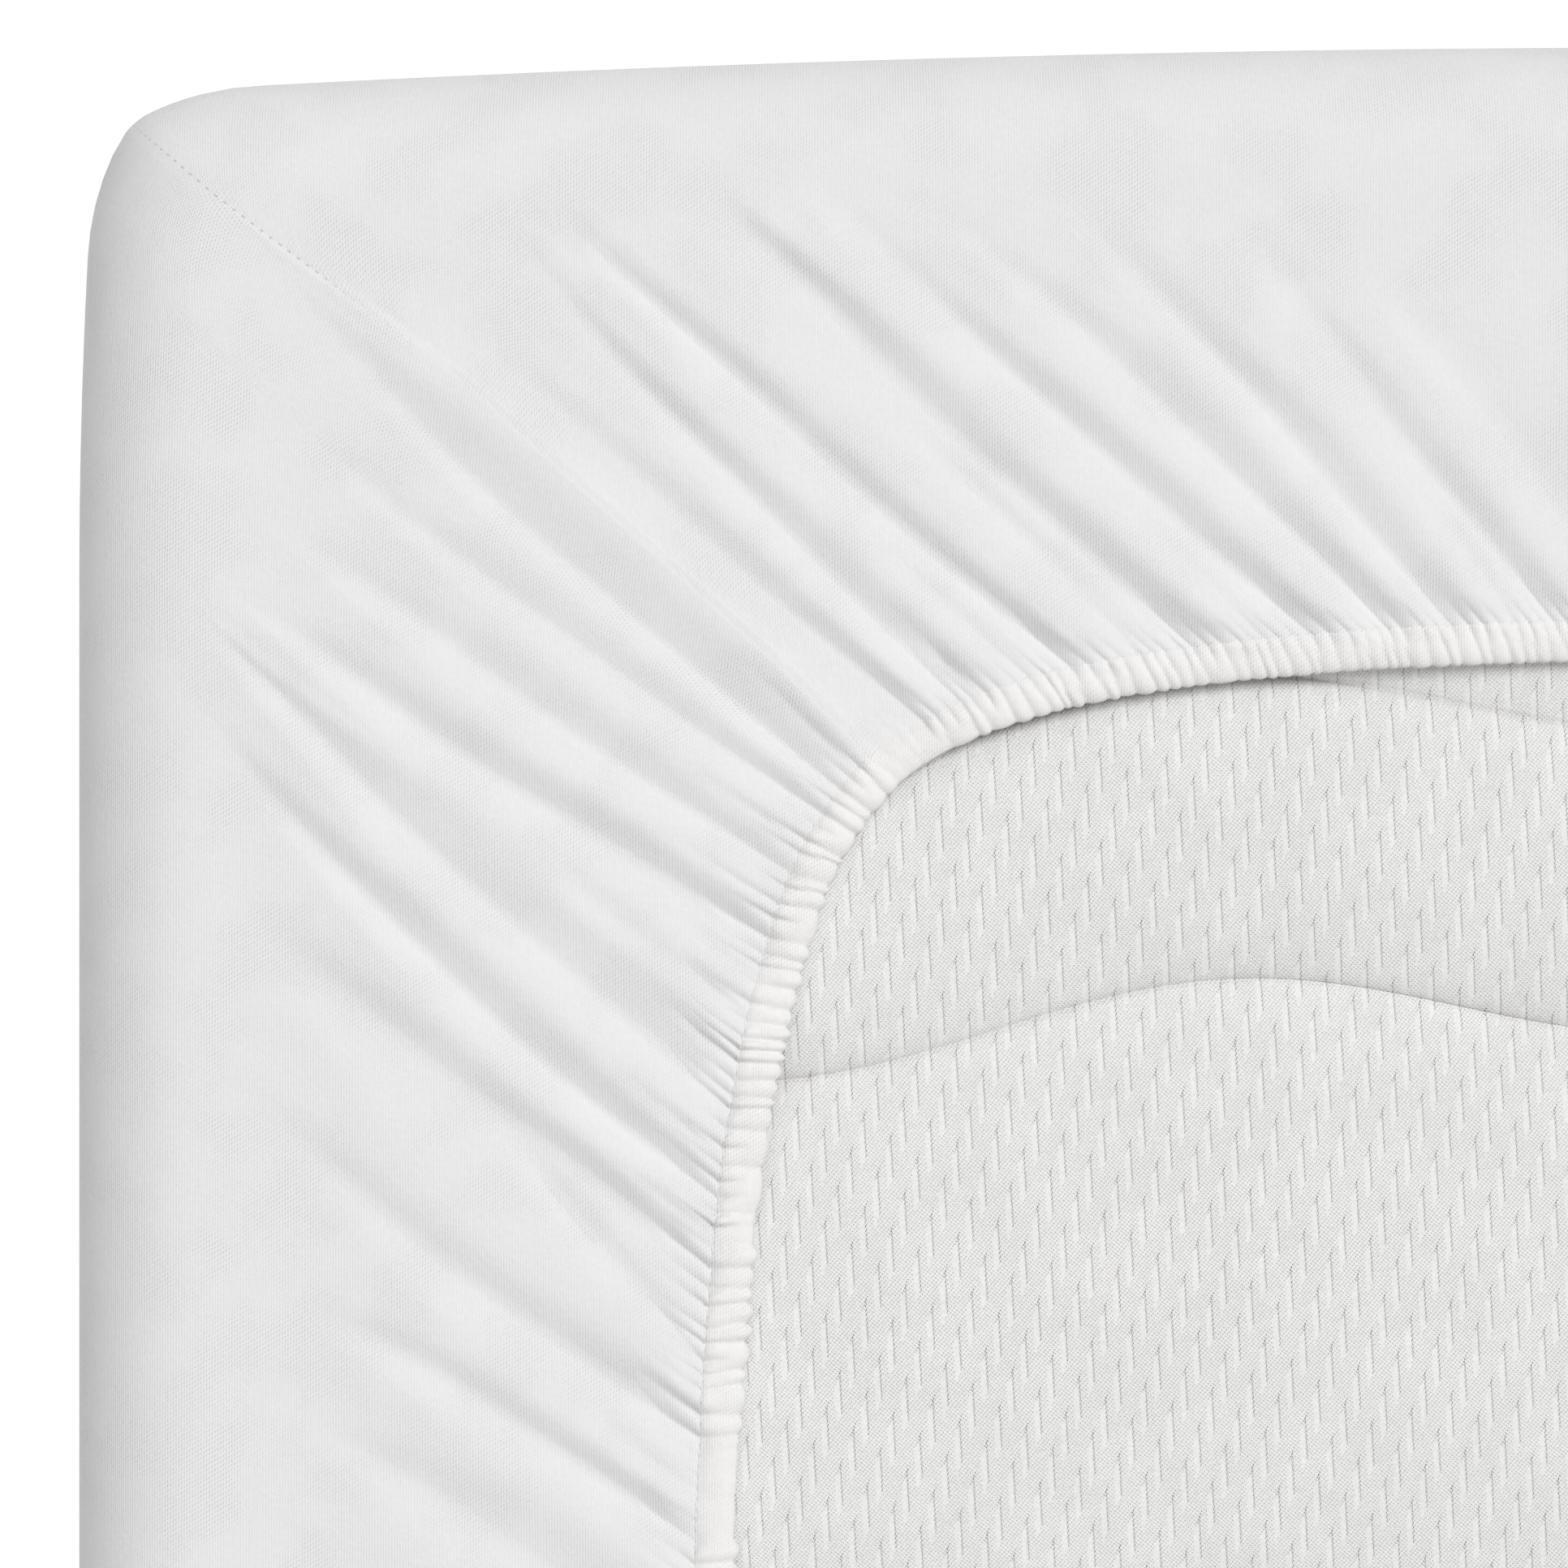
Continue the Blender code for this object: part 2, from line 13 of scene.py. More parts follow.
import bmesh
import bpy
import numpy as np
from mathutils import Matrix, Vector


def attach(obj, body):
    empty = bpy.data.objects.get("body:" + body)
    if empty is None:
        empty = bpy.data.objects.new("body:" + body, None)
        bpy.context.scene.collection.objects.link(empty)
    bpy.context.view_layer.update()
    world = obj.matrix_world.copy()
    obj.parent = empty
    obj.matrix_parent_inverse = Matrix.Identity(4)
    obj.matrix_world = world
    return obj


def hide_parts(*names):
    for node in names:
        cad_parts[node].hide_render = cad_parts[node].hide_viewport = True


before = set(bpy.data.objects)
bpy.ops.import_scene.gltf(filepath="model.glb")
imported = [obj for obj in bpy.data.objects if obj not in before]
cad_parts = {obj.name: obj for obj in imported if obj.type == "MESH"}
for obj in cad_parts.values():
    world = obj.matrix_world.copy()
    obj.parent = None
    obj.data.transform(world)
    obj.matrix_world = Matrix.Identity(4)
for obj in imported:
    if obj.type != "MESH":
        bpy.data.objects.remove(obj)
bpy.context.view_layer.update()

# One millimetre, the unit in which the creases, the dents and the hem's section are charted.
MM = 0.001

# The mattress.
MATTRESS_WIDTH = 0.900
MATTRESS_LENGTH = 2.000
MATTRESS_THICKNESS = 0.160
MATTRESS_EDGE_RADIUS = 0.035
MATTRESS_EDGE_ROWS = 6
MATTRESS_COLUMNS = 60

# The cloth and how it lies.
CLOTH = 0.0015
EDGE_RADIUS = 0.034
EDGE_CLEARANCE = 0.002
FACE_CLEARANCE = 0.0006
REST_GAP = 0.0003
WRAP_LONG_SIDE = 0.164
WRAP_SHORT_SIDE = 0.159

# The quilting of the mattress's upper face. Its channels are one pitch and two pitches wide in turn. A
# channel rises from one line to its middle and rolls down to the next line in +Y: the smaller a crown, the
# flatter that half is and the steeper it meets its line. Steps are shares of the way between two lines.
QUILT_PITCH = 0.082
QUILT_DEPTH = 0.0078
QUILT_RISE_CROWN = 0.40
QUILT_ROLL_CROWN = 0.30
QUILT_WAVE_LENGTH = 0.252
QUILT_WAVE_HEIGHT = 0.0106
QUILT_TILT = math.radians(3.0)
QUILT_ORIGIN = (-0.1382, 0.7364)
QUILT_HALF_WIDTH = 0.335
QUILT_FADE = 0.032
QUILT_LINES = tuple(line for line in range(-20, 3) if line % 3 != 2)
QUILT_LAST_STEP = 2
QUILT_COLUMNS = 134
QUILT_MIDDLE = 0.5
QUILT_RISE_STEPS = (0.0, 0.004, 0.012, 0.028, 0.06, 0.11, 0.19, 0.32)
QUILT_ROLL_STEPS = (0.68, 0.81, 0.89, 0.94, 0.972, 0.988, 0.996)
QUILT_STEPS = (*QUILT_RISE_STEPS, QUILT_MIDDLE, *QUILT_ROLL_STEPS)

# Heights.
MATTRESS_BOTTOM = CLOTH + REST_GAP
MATTRESS_TOP = MATTRESS_BOTTOM + MATTRESS_THICKNESS
CLOTH_BASE = FACE_CLEARANCE + CLOTH
CLOTH_TOP = MATTRESS_TOP + CLOTH_BASE

# Plan outlines, each a row of arcs from the middle of a short side to the middle of a long side. The first
# and last arcs take the length that is left. The seam is at the middle of the arc named as its corner.
Arc = namedtuple("Arc", "turn_deg length")
OUTLINE_CORNER = 2
OUTLINE_ARCS = (
    Arc(3.0, None),
    Arc(22.0, 0.030),
    Arc(38.0, 0.014),
    Arc(24.0, 0.032),
    Arc(3.0, 0.090),
    Arc(0.0, None),
)
STITCH_CORNER = 5
STITCH_ARCS = (
    Arc(2.7, None),
    Arc(4.5, 0.067),
    Arc(4.3, 0.028),
    Arc(7.2, 0.028),
    Arc(13.5, 0.0255),
    Arc(19.2, 0.0225),
    Arc(11.8, 0.020),
    Arc(8.6, 0.016),
    Arc(7.0, 0.040),
    Arc(5.8, 0.050),
    Arc(4.2, 0.100),
    Arc(1.2, None),
)

# The creases, one row each, in millimetres from the seam. hem and edge are where a crease meets the stitch
# line and the outline, and it bends by bend towards the middle of the long side. The fold beyond it, away
# from the seam, begins at start, a share of the way from the outline to the stitch line, is crest high, and
# is highest at peak, a share of its width counted towards the middle of the long side.
Crease = namedtuple("Crease", "hem edge bend start crest peak")
SHORT_SIDE_CREASES = (
    Crease(17.5, 20.5, 1.5, 0.44, 2.0, 0.52),
    Crease(29.0, 66.3, 4.0, 0.32, 2.7, 0.60),
    Crease(60.3, 77.3, 3.0, 0.22, 3.0, 0.76),
    Crease(93.5, 124.5, 2.0, 0.20, 3.2, 0.59),
    Crease(126.0, 153.4, 3.0, 0.34, 3.0, 0.52),
    Crease(146.7, 176.9, -4.5, 0.33, 2.6, 0.41),
    Crease(163.8, 220.6, -2.5, 0.33, 2.7, 0.55),
    Crease(191.7, 270.3, 1.5, 0.42, 2.3, 0.56),
    Crease(215.0, 295.4, -1.0, 0.45, 2.0, 0.50),
)
LONG_SIDE_CREASES = (
    Crease(12.0, 2.5, 4.5, 0.38, 1.3, 0.45),
    Crease(20.0, 39.1, 4.5, 0.38, 2.4, 0.46),
    Crease(38.7, 73.8, 2.0, 0.33, 3.2, 0.50),
    Crease(57.0, 102.2, 3.5, 0.26, 3.0, 0.45),
    Crease(104.2, 105.3, 4.5, 0.24, 3.3, 0.49),
    Crease(128.8, 131.7, 8.0, 0.33, 2.8, 0.50),
    Crease(148.0, 188.3, -2.0, 0.34, 2.8, 0.74),
    Crease(193.7, 228.5, 5.5, 0.42, 2.4, 0.68),
    Crease(222.0, 296.0, -7.0, 0.42, 2.6, 0.45),
    Crease(256.0, 318.0, -3.0, 0.40, 2.4, 0.50),
)

# The seam lies on the crest of the fold between the first two creases. On its short side the cloth stays low
# as far as a foot close by, and then rises steeply.
SEAM_FOLD_START = 0.28
SEAM_FOLD_CREST_MM = 3.2
SEAM_BEND_MM = -5.0
SEAM_FOOT = 0.003
SEAM_FOOT_RISE = 0.25

# The dents that part a fold near the hem, in millimetres from the seam, minus towards the middle of the short
# side. A dent begins at start, drift away from its place at the hem, and reaches out by reach to either side.
Dent = namedtuple("Dent", "hem drift start reach depth")
DENTS = (
    Dent(-181.7, -3.0, 0.76, 6.0, 1.5),
    Dent(-113.5, -2.0, 0.77, 7.0, 1.6),
    Dent(-80.0, -5.0, 0.60, 8.0, 1.9),
    Dent(-48.3, 0.0, 0.77, 7.0, 1.7),
    Dent(-34.5, 0.0, 0.82, 5.0, 1.1),
    Dent(5.0, -1.0, 0.82, 4.0, 1.0),
    Dent(30.0, -1.0, 0.80, 6.0, 1.4),
    Dent(48.0, -1.0, 0.80, 6.0, 1.5),
    Dent(67.5, 0.0, 0.84, 5.0, 1.2),
    Dent(78.0, -2.0, 0.68, 8.0, 2.1),
    Dent(92.0, 0.0, 0.84, 5.0, 1.1),
    Dent(117.0, 0.0, 0.80, 6.0, 1.6),
    Dent(139.0, 0.0, 0.82, 6.0, 1.4),
    Dent(172.5, -20.0, 0.66, 9.0, 2.2),
    Dent(187.0, 0.0, 0.86, 5.0, 1.0),
    Dent(208.0, 0.0, 0.80, 7.0, 1.4),
)
DENT_GROWTH = 0.12

# The plainer folds along the middle of a long side.
PLAIN_PITCH = 0.034
PLAIN_START = 0.48
PLAIN_START_SPREAD = 0.08
PLAIN_CREST_MM = 1.9
PLAIN_CREST_SPREAD = 0.3

# How every fold is shaped, grows and settles into the hem. Its sides are straight up to its round crest. It
# begins as a narrow, soft valley along its crease, a little further out than its start, and widens inwards.
# On the way its height wanders, it swells towards the hem, and it settles close to it.
PLAIN_PEAK = 0.48
CREST_ROUNDNESS = 0.4
FOLD_SHARPENS_OVER = 0.40
LEAST_SOFTNESS = 0.10
FOLD_LEAD = 0.07
FOLD_RISE = 0.30
NARROW_SHARE = 0.40
FOLD_WIDENS_OVER = 0.36
FOLD_WANDER = 0.05
FOLD_WANDER_TURNS = 1.3
FOLD_SWELL = 0.5
SWELL_START = 0.70
HEM_SETTLE_START = 0.95
HEM_SETTLE = 0.50
QUARTER_VARIATION = 0.22
RIM_EASE = 0.10

# Turns, in radians, from one fold to the next of the waves that make them uneven.
START_WAVE = 1.7
CREST_WAVE = 2.3
QUARTER_WAVE = 2.4

# Slow unevenness of the cloth: how far creases wander sideways, a ripple in its height, and one in the walls.
# All are still where two quarters meet.
CREASE_WIGGLE = 0.0007
WIGGLE_TURNS = 1.9
WIGGLE_LENGTH = 0.047
RIPPLE_HEIGHT = 0.00007
RIPPLE_LENGTHS = (0.019, 0.031)
RIPPLE_TURNS = (3.1, 5.3)
WALL_RIPPLE = 0.0006
WALL_RIPPLE_LENGTH = 0.083
WALL_RIPPLE_TURN = 3
STILL_REACH = 0.03

# The gathers of the hem: how far apart their grooves are, how sharp their crests, and how uneven. On the
# way to the hem's inner edge they drift, fork and lean. Some patches are almost smooth.
GATHER_SEED = 7
GATHER_PLACES = (-0.25, -0.05, 0.0, 0.05, 0.25, 0.85)
GATHER_PITCHES = (0.0039, 0.0040, 0.0040, 0.0043, 0.0054, 0.0064)
GATHER_SHARPNESS = (0.8, 0.8, 0.8, 0.75, 0.8, 0.9)
GATHER_SPREAD = 0.34
GATHER_DRIFT = 0.30
GATHER_FORKS = 0.12
FORKS_FROM = 0.15
FORKS_OVER = 0.6
GATHER_STRENGTHS = (0.5, 1.1)
SMOOTH_PATCHES = ((-0.0175, -0.0005), (0.135, 0.143), (0.192, 0.222))
SMOOTH_PATCH_STRENGTH = 0.16
LEAN_PLACES = (-0.242, -0.205, -0.05, 0.0, 0.05, 0.15, 0.25, 0.80)
GATHER_LEANS = (0.0, 0.3, 0.3, 0.05, 0.1, 0.2, 0.1, 0.0)

# The puckers, in which the gathers run out into the skirt.
PUCKER_PLACES = (-0.25, -0.02, 0.03, 0.85)
PUCKER_HEIGHTS = (0.0009, 0.0010, 0.0018, 0.0016)
PUCKER_REACHES = (0.0050, 0.0050, 0.0075, 0.0070)
PUCKER_FALL = 1.4

# The cloth's last rows, up to and just past the stitch line: how far outside it they are, and the share of
# the cloth's height that is left there.
EndRow = namedtuple("EndRow", "outside height_share")
GATHER_ROWS = (
    EndRow(0.0130, 1.0),
    EndRow(0.0100, 1.0),
    EndRow(0.0077, 1.0),
    EndRow(0.0059, 1.0),
    EndRow(0.0044, 1.0),
    EndRow(0.0032, 1.0),
    EndRow(0.0022, 1.0),
    EndRow(0.0014, 0.99),
    EndRow(0.0008, 0.98),
    EndRow(0.0003, 0.96),
    EndRow(-0.0002, 0.92),
    EndRow(-0.0009, 0.70),
)

# The cloth's least height over the mattress.
LEAST_LIFT = 0.0003

# The hem's section, from under the cloth's end over the crown to its inner edge and back underneath. inwards
# is a share of the hem's width, crest and groove are heights over the mattress, in millimetres, and upper is
# 1 on the upper side. The outer section is the one on the stitch line.
Section = namedtuple("Section", "inwards crest groove upper")
HEM_SECTION = (
    Section(-0.07, 1.2, 1.1, 0),
    Section(-0.07, 3.0, 2.3, 1),
    Section(0.0, 3.4, 2.7, 1),
    Section(0.03, 3.65, 2.9, 1),
    Section(0.08, 4.1, 3.1, 1),
    Section(0.16, 4.6, 3.5, 1),
    Section(0.28, 5.0, 3.9, 1),
    Section(0.42, 5.2, 4.0, 1),
    Section(0.56, 5.2, 4.0, 1),
    Section(0.70, 4.9, 3.8, 1),
    Section(0.82, 4.5, 3.5, 1),
    Section(0.92, 3.8, 3.1, 1),
    Section(0.98, 3.0, 2.6, 1),
    Section(1.0, 2.1, 2.0, 1),
    Section(0.97, 1.2, 1.2, 0),
    Section(0.88, 0.7, 0.7, 0),
    Section(0.45, 0.6, 0.6, 0),
    Section(0.05, 0.7, 0.7, 0),
)
OUTER_SECTION = HEM_SECTION[2]

# The hem's width, the scallops of its inner edge and the relief of its gathers, by place.
HEM_PLACES = (-0.25, -0.06, 0.0, 0.05, 0.28, 0.85)
HEM_WIDTHS = (0.0112, 0.0104, 0.0112, 0.0118, 0.0118, 0.0112)
HEM_SCALLOPS = (0.0006, 0.0008, 0.0010, 0.0020, 0.0022, 0.0016)
SCALLOP_START = 0.35
SCALLOP_MIDDLE = 0.6
HEM_RELIEFS = (0.62, 0.70, 1.1, 1.2, 1.1, 1.0)

# How far into the hem its height follows the cloth outside it, by how much at most, and how deep the pinch
# between them is.
PINCH_REACH = 0.40
PINCH_LIMIT = 0.0030
PINCH_DEPTHS = (0.0, 0.0, 0.0, 0.0002, 0.0002, 0.0002)

# The stitches along the pinch: a shoulder is where a stitch is full, a share of its length from its middle.
STITCH_PITCH = 0.0029
STITCH_LENGTH = 0.0016
STITCH_RADIUS = 0.00012
STITCH_SINK = 0.00010
STITCH_OUTSIDE = 0.0001
STITCH_SIDES = 6
STITCH_SHOULDER = 0.34

# The corner seam: its groove, and the ridge that passes from its long side to its short side. Both fade on
# the way to the hem, at shares of the way from the outline to the stitch line. The mesh has columns this far
# to either side of it.
SEAM_RIDGE = 0.00016
SEAM_RIDGE_WIDTH = 0.0009
SEAM_GROOVE = 0.00016
SEAM_GROOVE_WIDTH = 0.0005
SEAM_PASS_START = 0.30
SEAM_PASS_OVER = 0.15
SEAM_FADE_START = 0.35
SEAM_FADE_OVER = 0.30
SEAM_COLUMNS = (0.0006, 0.0012, 0.002, 0.003, 0.0042, 0.006)

# The mesh: its rows on the folds, round the edge and on the wall, and how many columns stand between two
# creases, first on the quarter that is looked at closely and then on the others. Between two grooves they
# stand at these shares of the way.
FOLD_ROWS = 17
LAST_FOLD_ROW = 0.87
EDGE_STEPS = 8
WALL_STEPS = 3
INNER_ROWS = (0.985, 0.94, 0.86, 0.74, 0.62, 0.50, 0.40, 0.30)
INNER_EDGE_STEPS = 4
FINE_QUARTER = 0
FINE_REACH = 0.27
FOLD_COLUMNS = (12, 7)
EDGE_COLUMNS = (4, 2)
FINE_GATHER_SHARES = (0.12, 0.27, 0.42, 0.58, 0.73, 0.88)
GATHER_SHARES = (0.25, 0.5, 0.75)
LEAST_SPACING = 1e-5

# The quarters in order round the loop: the sign of X and of Y, and whether the loop runs from the short side.
Quarter = namedtuple("Quarter", "x y from_short")
QUARTERS = (Quarter(1, 1, True), Quarter(1, -1, False), Quarter(-1, -1, True), Quarter(-1, 1, False))


def smooth(share):
    """Eases a share from 0 to 1."""
    share = np.clip(share, 0.0, 1.0)
    return share * share * (3 - 2 * share)


def arc_step(heading, turn, length):
    """Where arcs of this heading, turn and length end, counted from their starts."""
    chord = length * np.sinc(turn / 2 / np.pi)
    middle = heading + turn / 2
    return np.stack([chord * np.cos(middle), chord * np.sin(middle)], axis=-1)


class QuarterCurve:
    """The plan outline of the quarter at -X, +Y. It turns left, from the -X direction to the -Y direction."""

    def __init__(self, half_width, half_length, arcs, corner):
        turns = np.radians([arc.turn_deg for arc in arcs])
        lengths = np.array([arc.length or 0.0 for arc in arcs])
        self.headings = np.pi + np.concatenate([[0.0], np.cumsum(turns)[:-1]])
        middle = arc_step(self.headings, turns, lengths).sum(axis=0)
        first = arc_step(self.headings[0], turns[0], 1.0)
        last = arc_step(self.headings[-1], turns[-1], 1.0)
        ends = np.column_stack([first, last])
        lengths[[0, -1]] = np.linalg.solve(ends, np.array([-half_width, -half_length]) - middle)
        steps = arc_step(self.headings, turns, lengths)
        self.starts = np.concatenate([[0.0], np.cumsum(lengths)[:-1]])
        walked = np.concatenate([[[0.0, 0.0]], np.cumsum(steps, axis=0)[:-1]])
        self.points = np.array([0.0, half_length]) + walked
        self.curvatures = turns / lengths
        self.short_length = lengths[:corner].sum() + lengths[corner] / 2
        self.long_length = lengths.sum() - self.short_length

    def place(self, from_seam):
        """The points at these distances from the seam, and the headings there."""
        along = np.asarray(from_seam) + self.short_length
        index = np.clip(np.searchsorted(self.starts, along, side="right") - 1, 0, len(self.starts) - 1)
        run = along - self.starts[index]
        turn = self.curvatures[index] * run
        return self.points[index] + arc_step(self.headings[index], turn, run), self.headings[index] + turn


OUTLINE = QuarterCurve(
    MATTRESS_WIDTH / 2 + EDGE_CLEARANCE + CLOTH,
    MATTRESS_LENGTH / 2 + EDGE_CLEARANCE + CLOTH,
    OUTLINE_ARCS,
    OUTLINE_CORNER,
)
STITCH_LINE = QuarterCurve(
    MATTRESS_WIDTH / 2 + EDGE_CLEARANCE + CLOTH - WRAP_LONG_SIDE,
    MATTRESS_LENGTH / 2 + EDGE_CLEARANCE + CLOTH - WRAP_SHORT_SIDE,
    STITCH_ARCS,
    STITCH_CORNER,
)
LOOP_QUARTER = STITCH_LINE.short_length + STITCH_LINE.long_length


def plain_creases():
    """The creases beyond the last charted one, evenly spread as far as the middle of the long side."""
    last = LONG_SIDE_CREASES[-1]
    hem_run = STITCH_LINE.long_length / MM - last.hem
    edge_run = OUTLINE.long_length / MM - last.edge
    count = round(hem_run * MM / PLAIN_PITCH)
    for index in range(1, count):
        share = index / count
        yield Crease(
            last.hem + hem_run * share,
            last.edge + edge_run * share,
            0.0,
            PLAIN_START + PLAIN_START_SPREAD * math.sin(START_WAVE * index),
            PLAIN_CREST_MM * (1 + PLAIN_CREST_SPREAD * math.sin(CREST_WAVE * index)),
            PLAIN_PEAK,
        )


SHORT_ROWS = [row._replace(hem=-row.hem, edge=-row.edge) for row in reversed(SHORT_SIDE_CREASES)]
LONG_ROWS = [*LONG_SIDE_CREASES, *plain_creases()]
SHORT_END = (-STITCH_LINE.short_length, -OUTLINE.short_length)
LONG_END = (STITCH_LINE.long_length, OUTLINE.long_length)


def charted(field, at_seam):
    """One column of the chart, from the short side to the long side, with this value at the seam."""
    before, after = ([getattr(row, field) for row in rows] for rows in (SHORT_ROWS, LONG_ROWS))
    return [*before, at_seam, *after]


# How places on the stitch line, places on the outline and sideways bends go together.
KNOT_HEMS = np.array([SHORT_END[0], *(place * MM for place in charted("hem", 0.0)), LONG_END[0]])
KNOT_EDGES = np.array([SHORT_END[1], *(place * MM for place in charted("edge", 0.0)), LONG_END[1]])
KNOT_BENDS = MM * np.array([0.0, *charted("bend", SEAM_BEND_MM), 0.0])

# The folds between the creases, from the middle of the short side. The seam lies on the crest of one.
CREASE_HEMS = np.delete(KNOT_HEMS, len(SHORT_ROWS) + 1)
SEAM_FOLD = len(SHORT_ROWS)
SEAM_FOLD_PEAK = -CREASE_HEMS[SEAM_FOLD] / (CREASE_HEMS[SEAM_FOLD + 1] - CREASE_HEMS[SEAM_FOLD])
FOLD_STARTS = np.array(charted("start", SEAM_FOLD_START))
FOLD_CRESTS = MM * np.array(charted("crest", SEAM_FOLD_CREST_MM))
FOLD_PEAKS = np.array(charted("peak", SEAM_FOLD_PEAK))


def edge_at(hem):
    """The places on the outline from which the cloth runs to these places on the stitch line."""
    return np.interp(hem, KNOT_HEMS, KNOT_EDGES)


def hem_at(edge):
    """The places on the stitch line to which the cloth runs from these places on the outline."""
    return np.interp(edge, KNOT_EDGES, KNOT_HEMS)


def gather_grooves():
    """The grooves between the hem's gathers. Every crease and the seam run into one."""
    random = np.random.default_rng(GATHER_SEED)
    grooves = [KNOT_HEMS[0]]
    for near, far in zip(KNOT_HEMS, KNOT_HEMS[1:]):
        pitch = np.interp((near + far) / 2, GATHER_PLACES, GATHER_PITCHES)
        count = max(1, round((far - near) / pitch))
        widths = 1 + GATHER_SPREAD * random.uniform(-1, 1, count)
        grooves.extend(near + (far - near) * np.cumsum(widths) / widths.sum())
    return np.array(grooves)


def gather_strengths(grooves):
    """How strongly each gather stands up, for each quarter. Some patches are almost smooth."""
    random = np.random.default_rng(GATHER_SEED + 1)
    strengths = random.uniform(*GATHER_STRENGTHS, (len(QUARTERS), len(grooves) - 1))
    middles = (grooves[1:] + grooves[:-1]) / 2
    for low, high in SMOOTH_PATCHES:
        strengths[:, (middles > low) & (middles < high)] *= SMOOTH_PATCH_STRENGTH
    return strengths


def inner_grooves(grooves):
    """The grooves at the hem's inner edge: moved a little, and some of them gone, so that gathers fork."""
    random = np.random.default_rng(GATHER_SEED + 2)
    widths = np.diff(grooves)
    drift = random.uniform(-1, 1, len(grooves) - 2) * GATHER_DRIFT
    moved = grooves[1:-1] + drift * np.minimum(widths[1:], widths[:-1])
    kept = random.uniform(0, 1, len(moved)) > GATHER_FORKS
    return np.concatenate([grooves[:1], moved[kept], grooves[-1:]])


GROOVES = gather_grooves()
STRENGTHS = gather_strengths(GROOVES)
INNER_GROOVES = inner_grooves(GROOVES)
INNER_STRENGTHS = gather_strengths(INNER_GROOVES)


def crests(grooves, strengths, number, hem):
    """How far the cloth stands up between these grooves, from 0 in a groove to about 1 on a crest."""
    index = np.clip(np.searchsorted(grooves, hem, side="right") - 1, 0, len(grooves) - 2)
    share = (hem - grooves[index]) / (grooves[index + 1] - grooves[index])
    sharpness = np.interp(hem, GATHER_PLACES, GATHER_SHARPNESS)
    return strengths[number, index] * np.sin(np.pi * np.clip(share, 0.0, 1.0)) ** sharpness


def gather(number, hem, inwards=0.0):
    """How far the cloth stands up in its gathers, which fork on the way to the hem's inner edge."""
    near = crests(GROOVES, STRENGTHS, number, hem)
    far = crests(INNER_GROOVES, INNER_STRENGTHS, number, hem)
    return near + (far - near) * smooth((inwards - FORKS_FROM) / FORKS_OVER)


def dent_depth(hem, across):
    """How far the dents draw the cloth down. Each is sharp along its middle."""
    depth = np.zeros(np.shape(hem))
    for dent in DENTS:
        grown = smooth((across - dent.start) / DENT_GROWTH)
        middle = dent.hem + dent.drift * (1 - across) / (1 - dent.start)
        aside = np.clip(np.abs(hem / MM - middle) / dent.reach, 0.0, 1.0)
        depth += dent.depth * MM * grown * (1 - np.sin(np.pi / 2 * aside))
    return depth


def fold_height(number, hem, across):
    """The height of the folds over flat cloth. Creases are narrow and crests are round."""
    index = np.clip(np.searchsorted(CREASE_HEMS, hem, side="right") - 1, 0, len(FOLD_STARTS) - 1)
    share = (hem - CREASE_HEMS[index]) / (CREASE_HEMS[index + 1] - CREASE_HEMS[index])
    peak = FOLD_PEAKS[index]
    nearer = np.clip(np.where(share < peak, share / peak, (1 - share) / (1 - peak)), 0.0, 1.0)
    begun = across - FOLD_STARTS[index] + FOLD_LEAD
    nearer = np.minimum(1.0, nearer / (NARROW_SHARE + (1 - NARROW_SHARE) * smooth(begun / FOLD_WIDENS_OVER)))
    past = np.maximum(0.0, nearer - (1 - CREST_ROUNDNESS))
    straight = (nearer - past * past / (2 * CREST_ROUNDNESS)) / (1 - CREST_ROUNDNESS / 2)
    softness = 1 - (1 - LEAST_SOFTNESS) * smooth(begun / FOLD_SHARPENS_OVER)
    profile = straight + (smooth(nearer) - straight) * softness
    steep = np.interp(hem, (CREASE_HEMS[SEAM_FOLD], -SEAM_FOOT, 0.0), (0.0, SEAM_FOOT_RISE, 1.0))
    profile = np.where((index == SEAM_FOLD) & (hem < 0), steep, profile)
    grown = smooth(begun / FOLD_RISE)
    settled = smooth((across - HEM_SETTLE_START) / (1 - HEM_SETTLE_START))
    varied = 1 + QUARTER_VARIATION * np.sin(QUARTER_WAVE * index) * number / len(QUARTERS)
    wander = 1 + FOLD_WANDER * np.sin(2 * np.pi * FOLD_WANDER_TURNS * across + QUARTER_WAVE * index)
    swollen = 1 + FOLD_SWELL * smooth((across - SWELL_START) / (1 - SWELL_START))
    folded = FOLD_CRESTS[index] * varied * wander * swollen * grown * profile
    return (folded - dent_depth(hem, across)) * (1 - HEM_SETTLE * settled)


def away_from_ends(hem):
    """1 along a quarter, and 0 at its two ends, where it meets the next quarters."""
    return smooth((hem - SHORT_END[0]) / STILL_REACH) * smooth((LONG_END[0] - hem) / STILL_REACH)


def ripple(hem, across):
    """The slow unevenness of the cloth's height."""
    waves = sum(
        np.sin(2 * np.pi * (hem / length + turns * across) + turns)
        for length, turns in zip(RIPPLE_LENGTHS, RIPPLE_TURNS)
    )
    return RIPPLE_HEIGHT * waves * away_from_ends(hem)


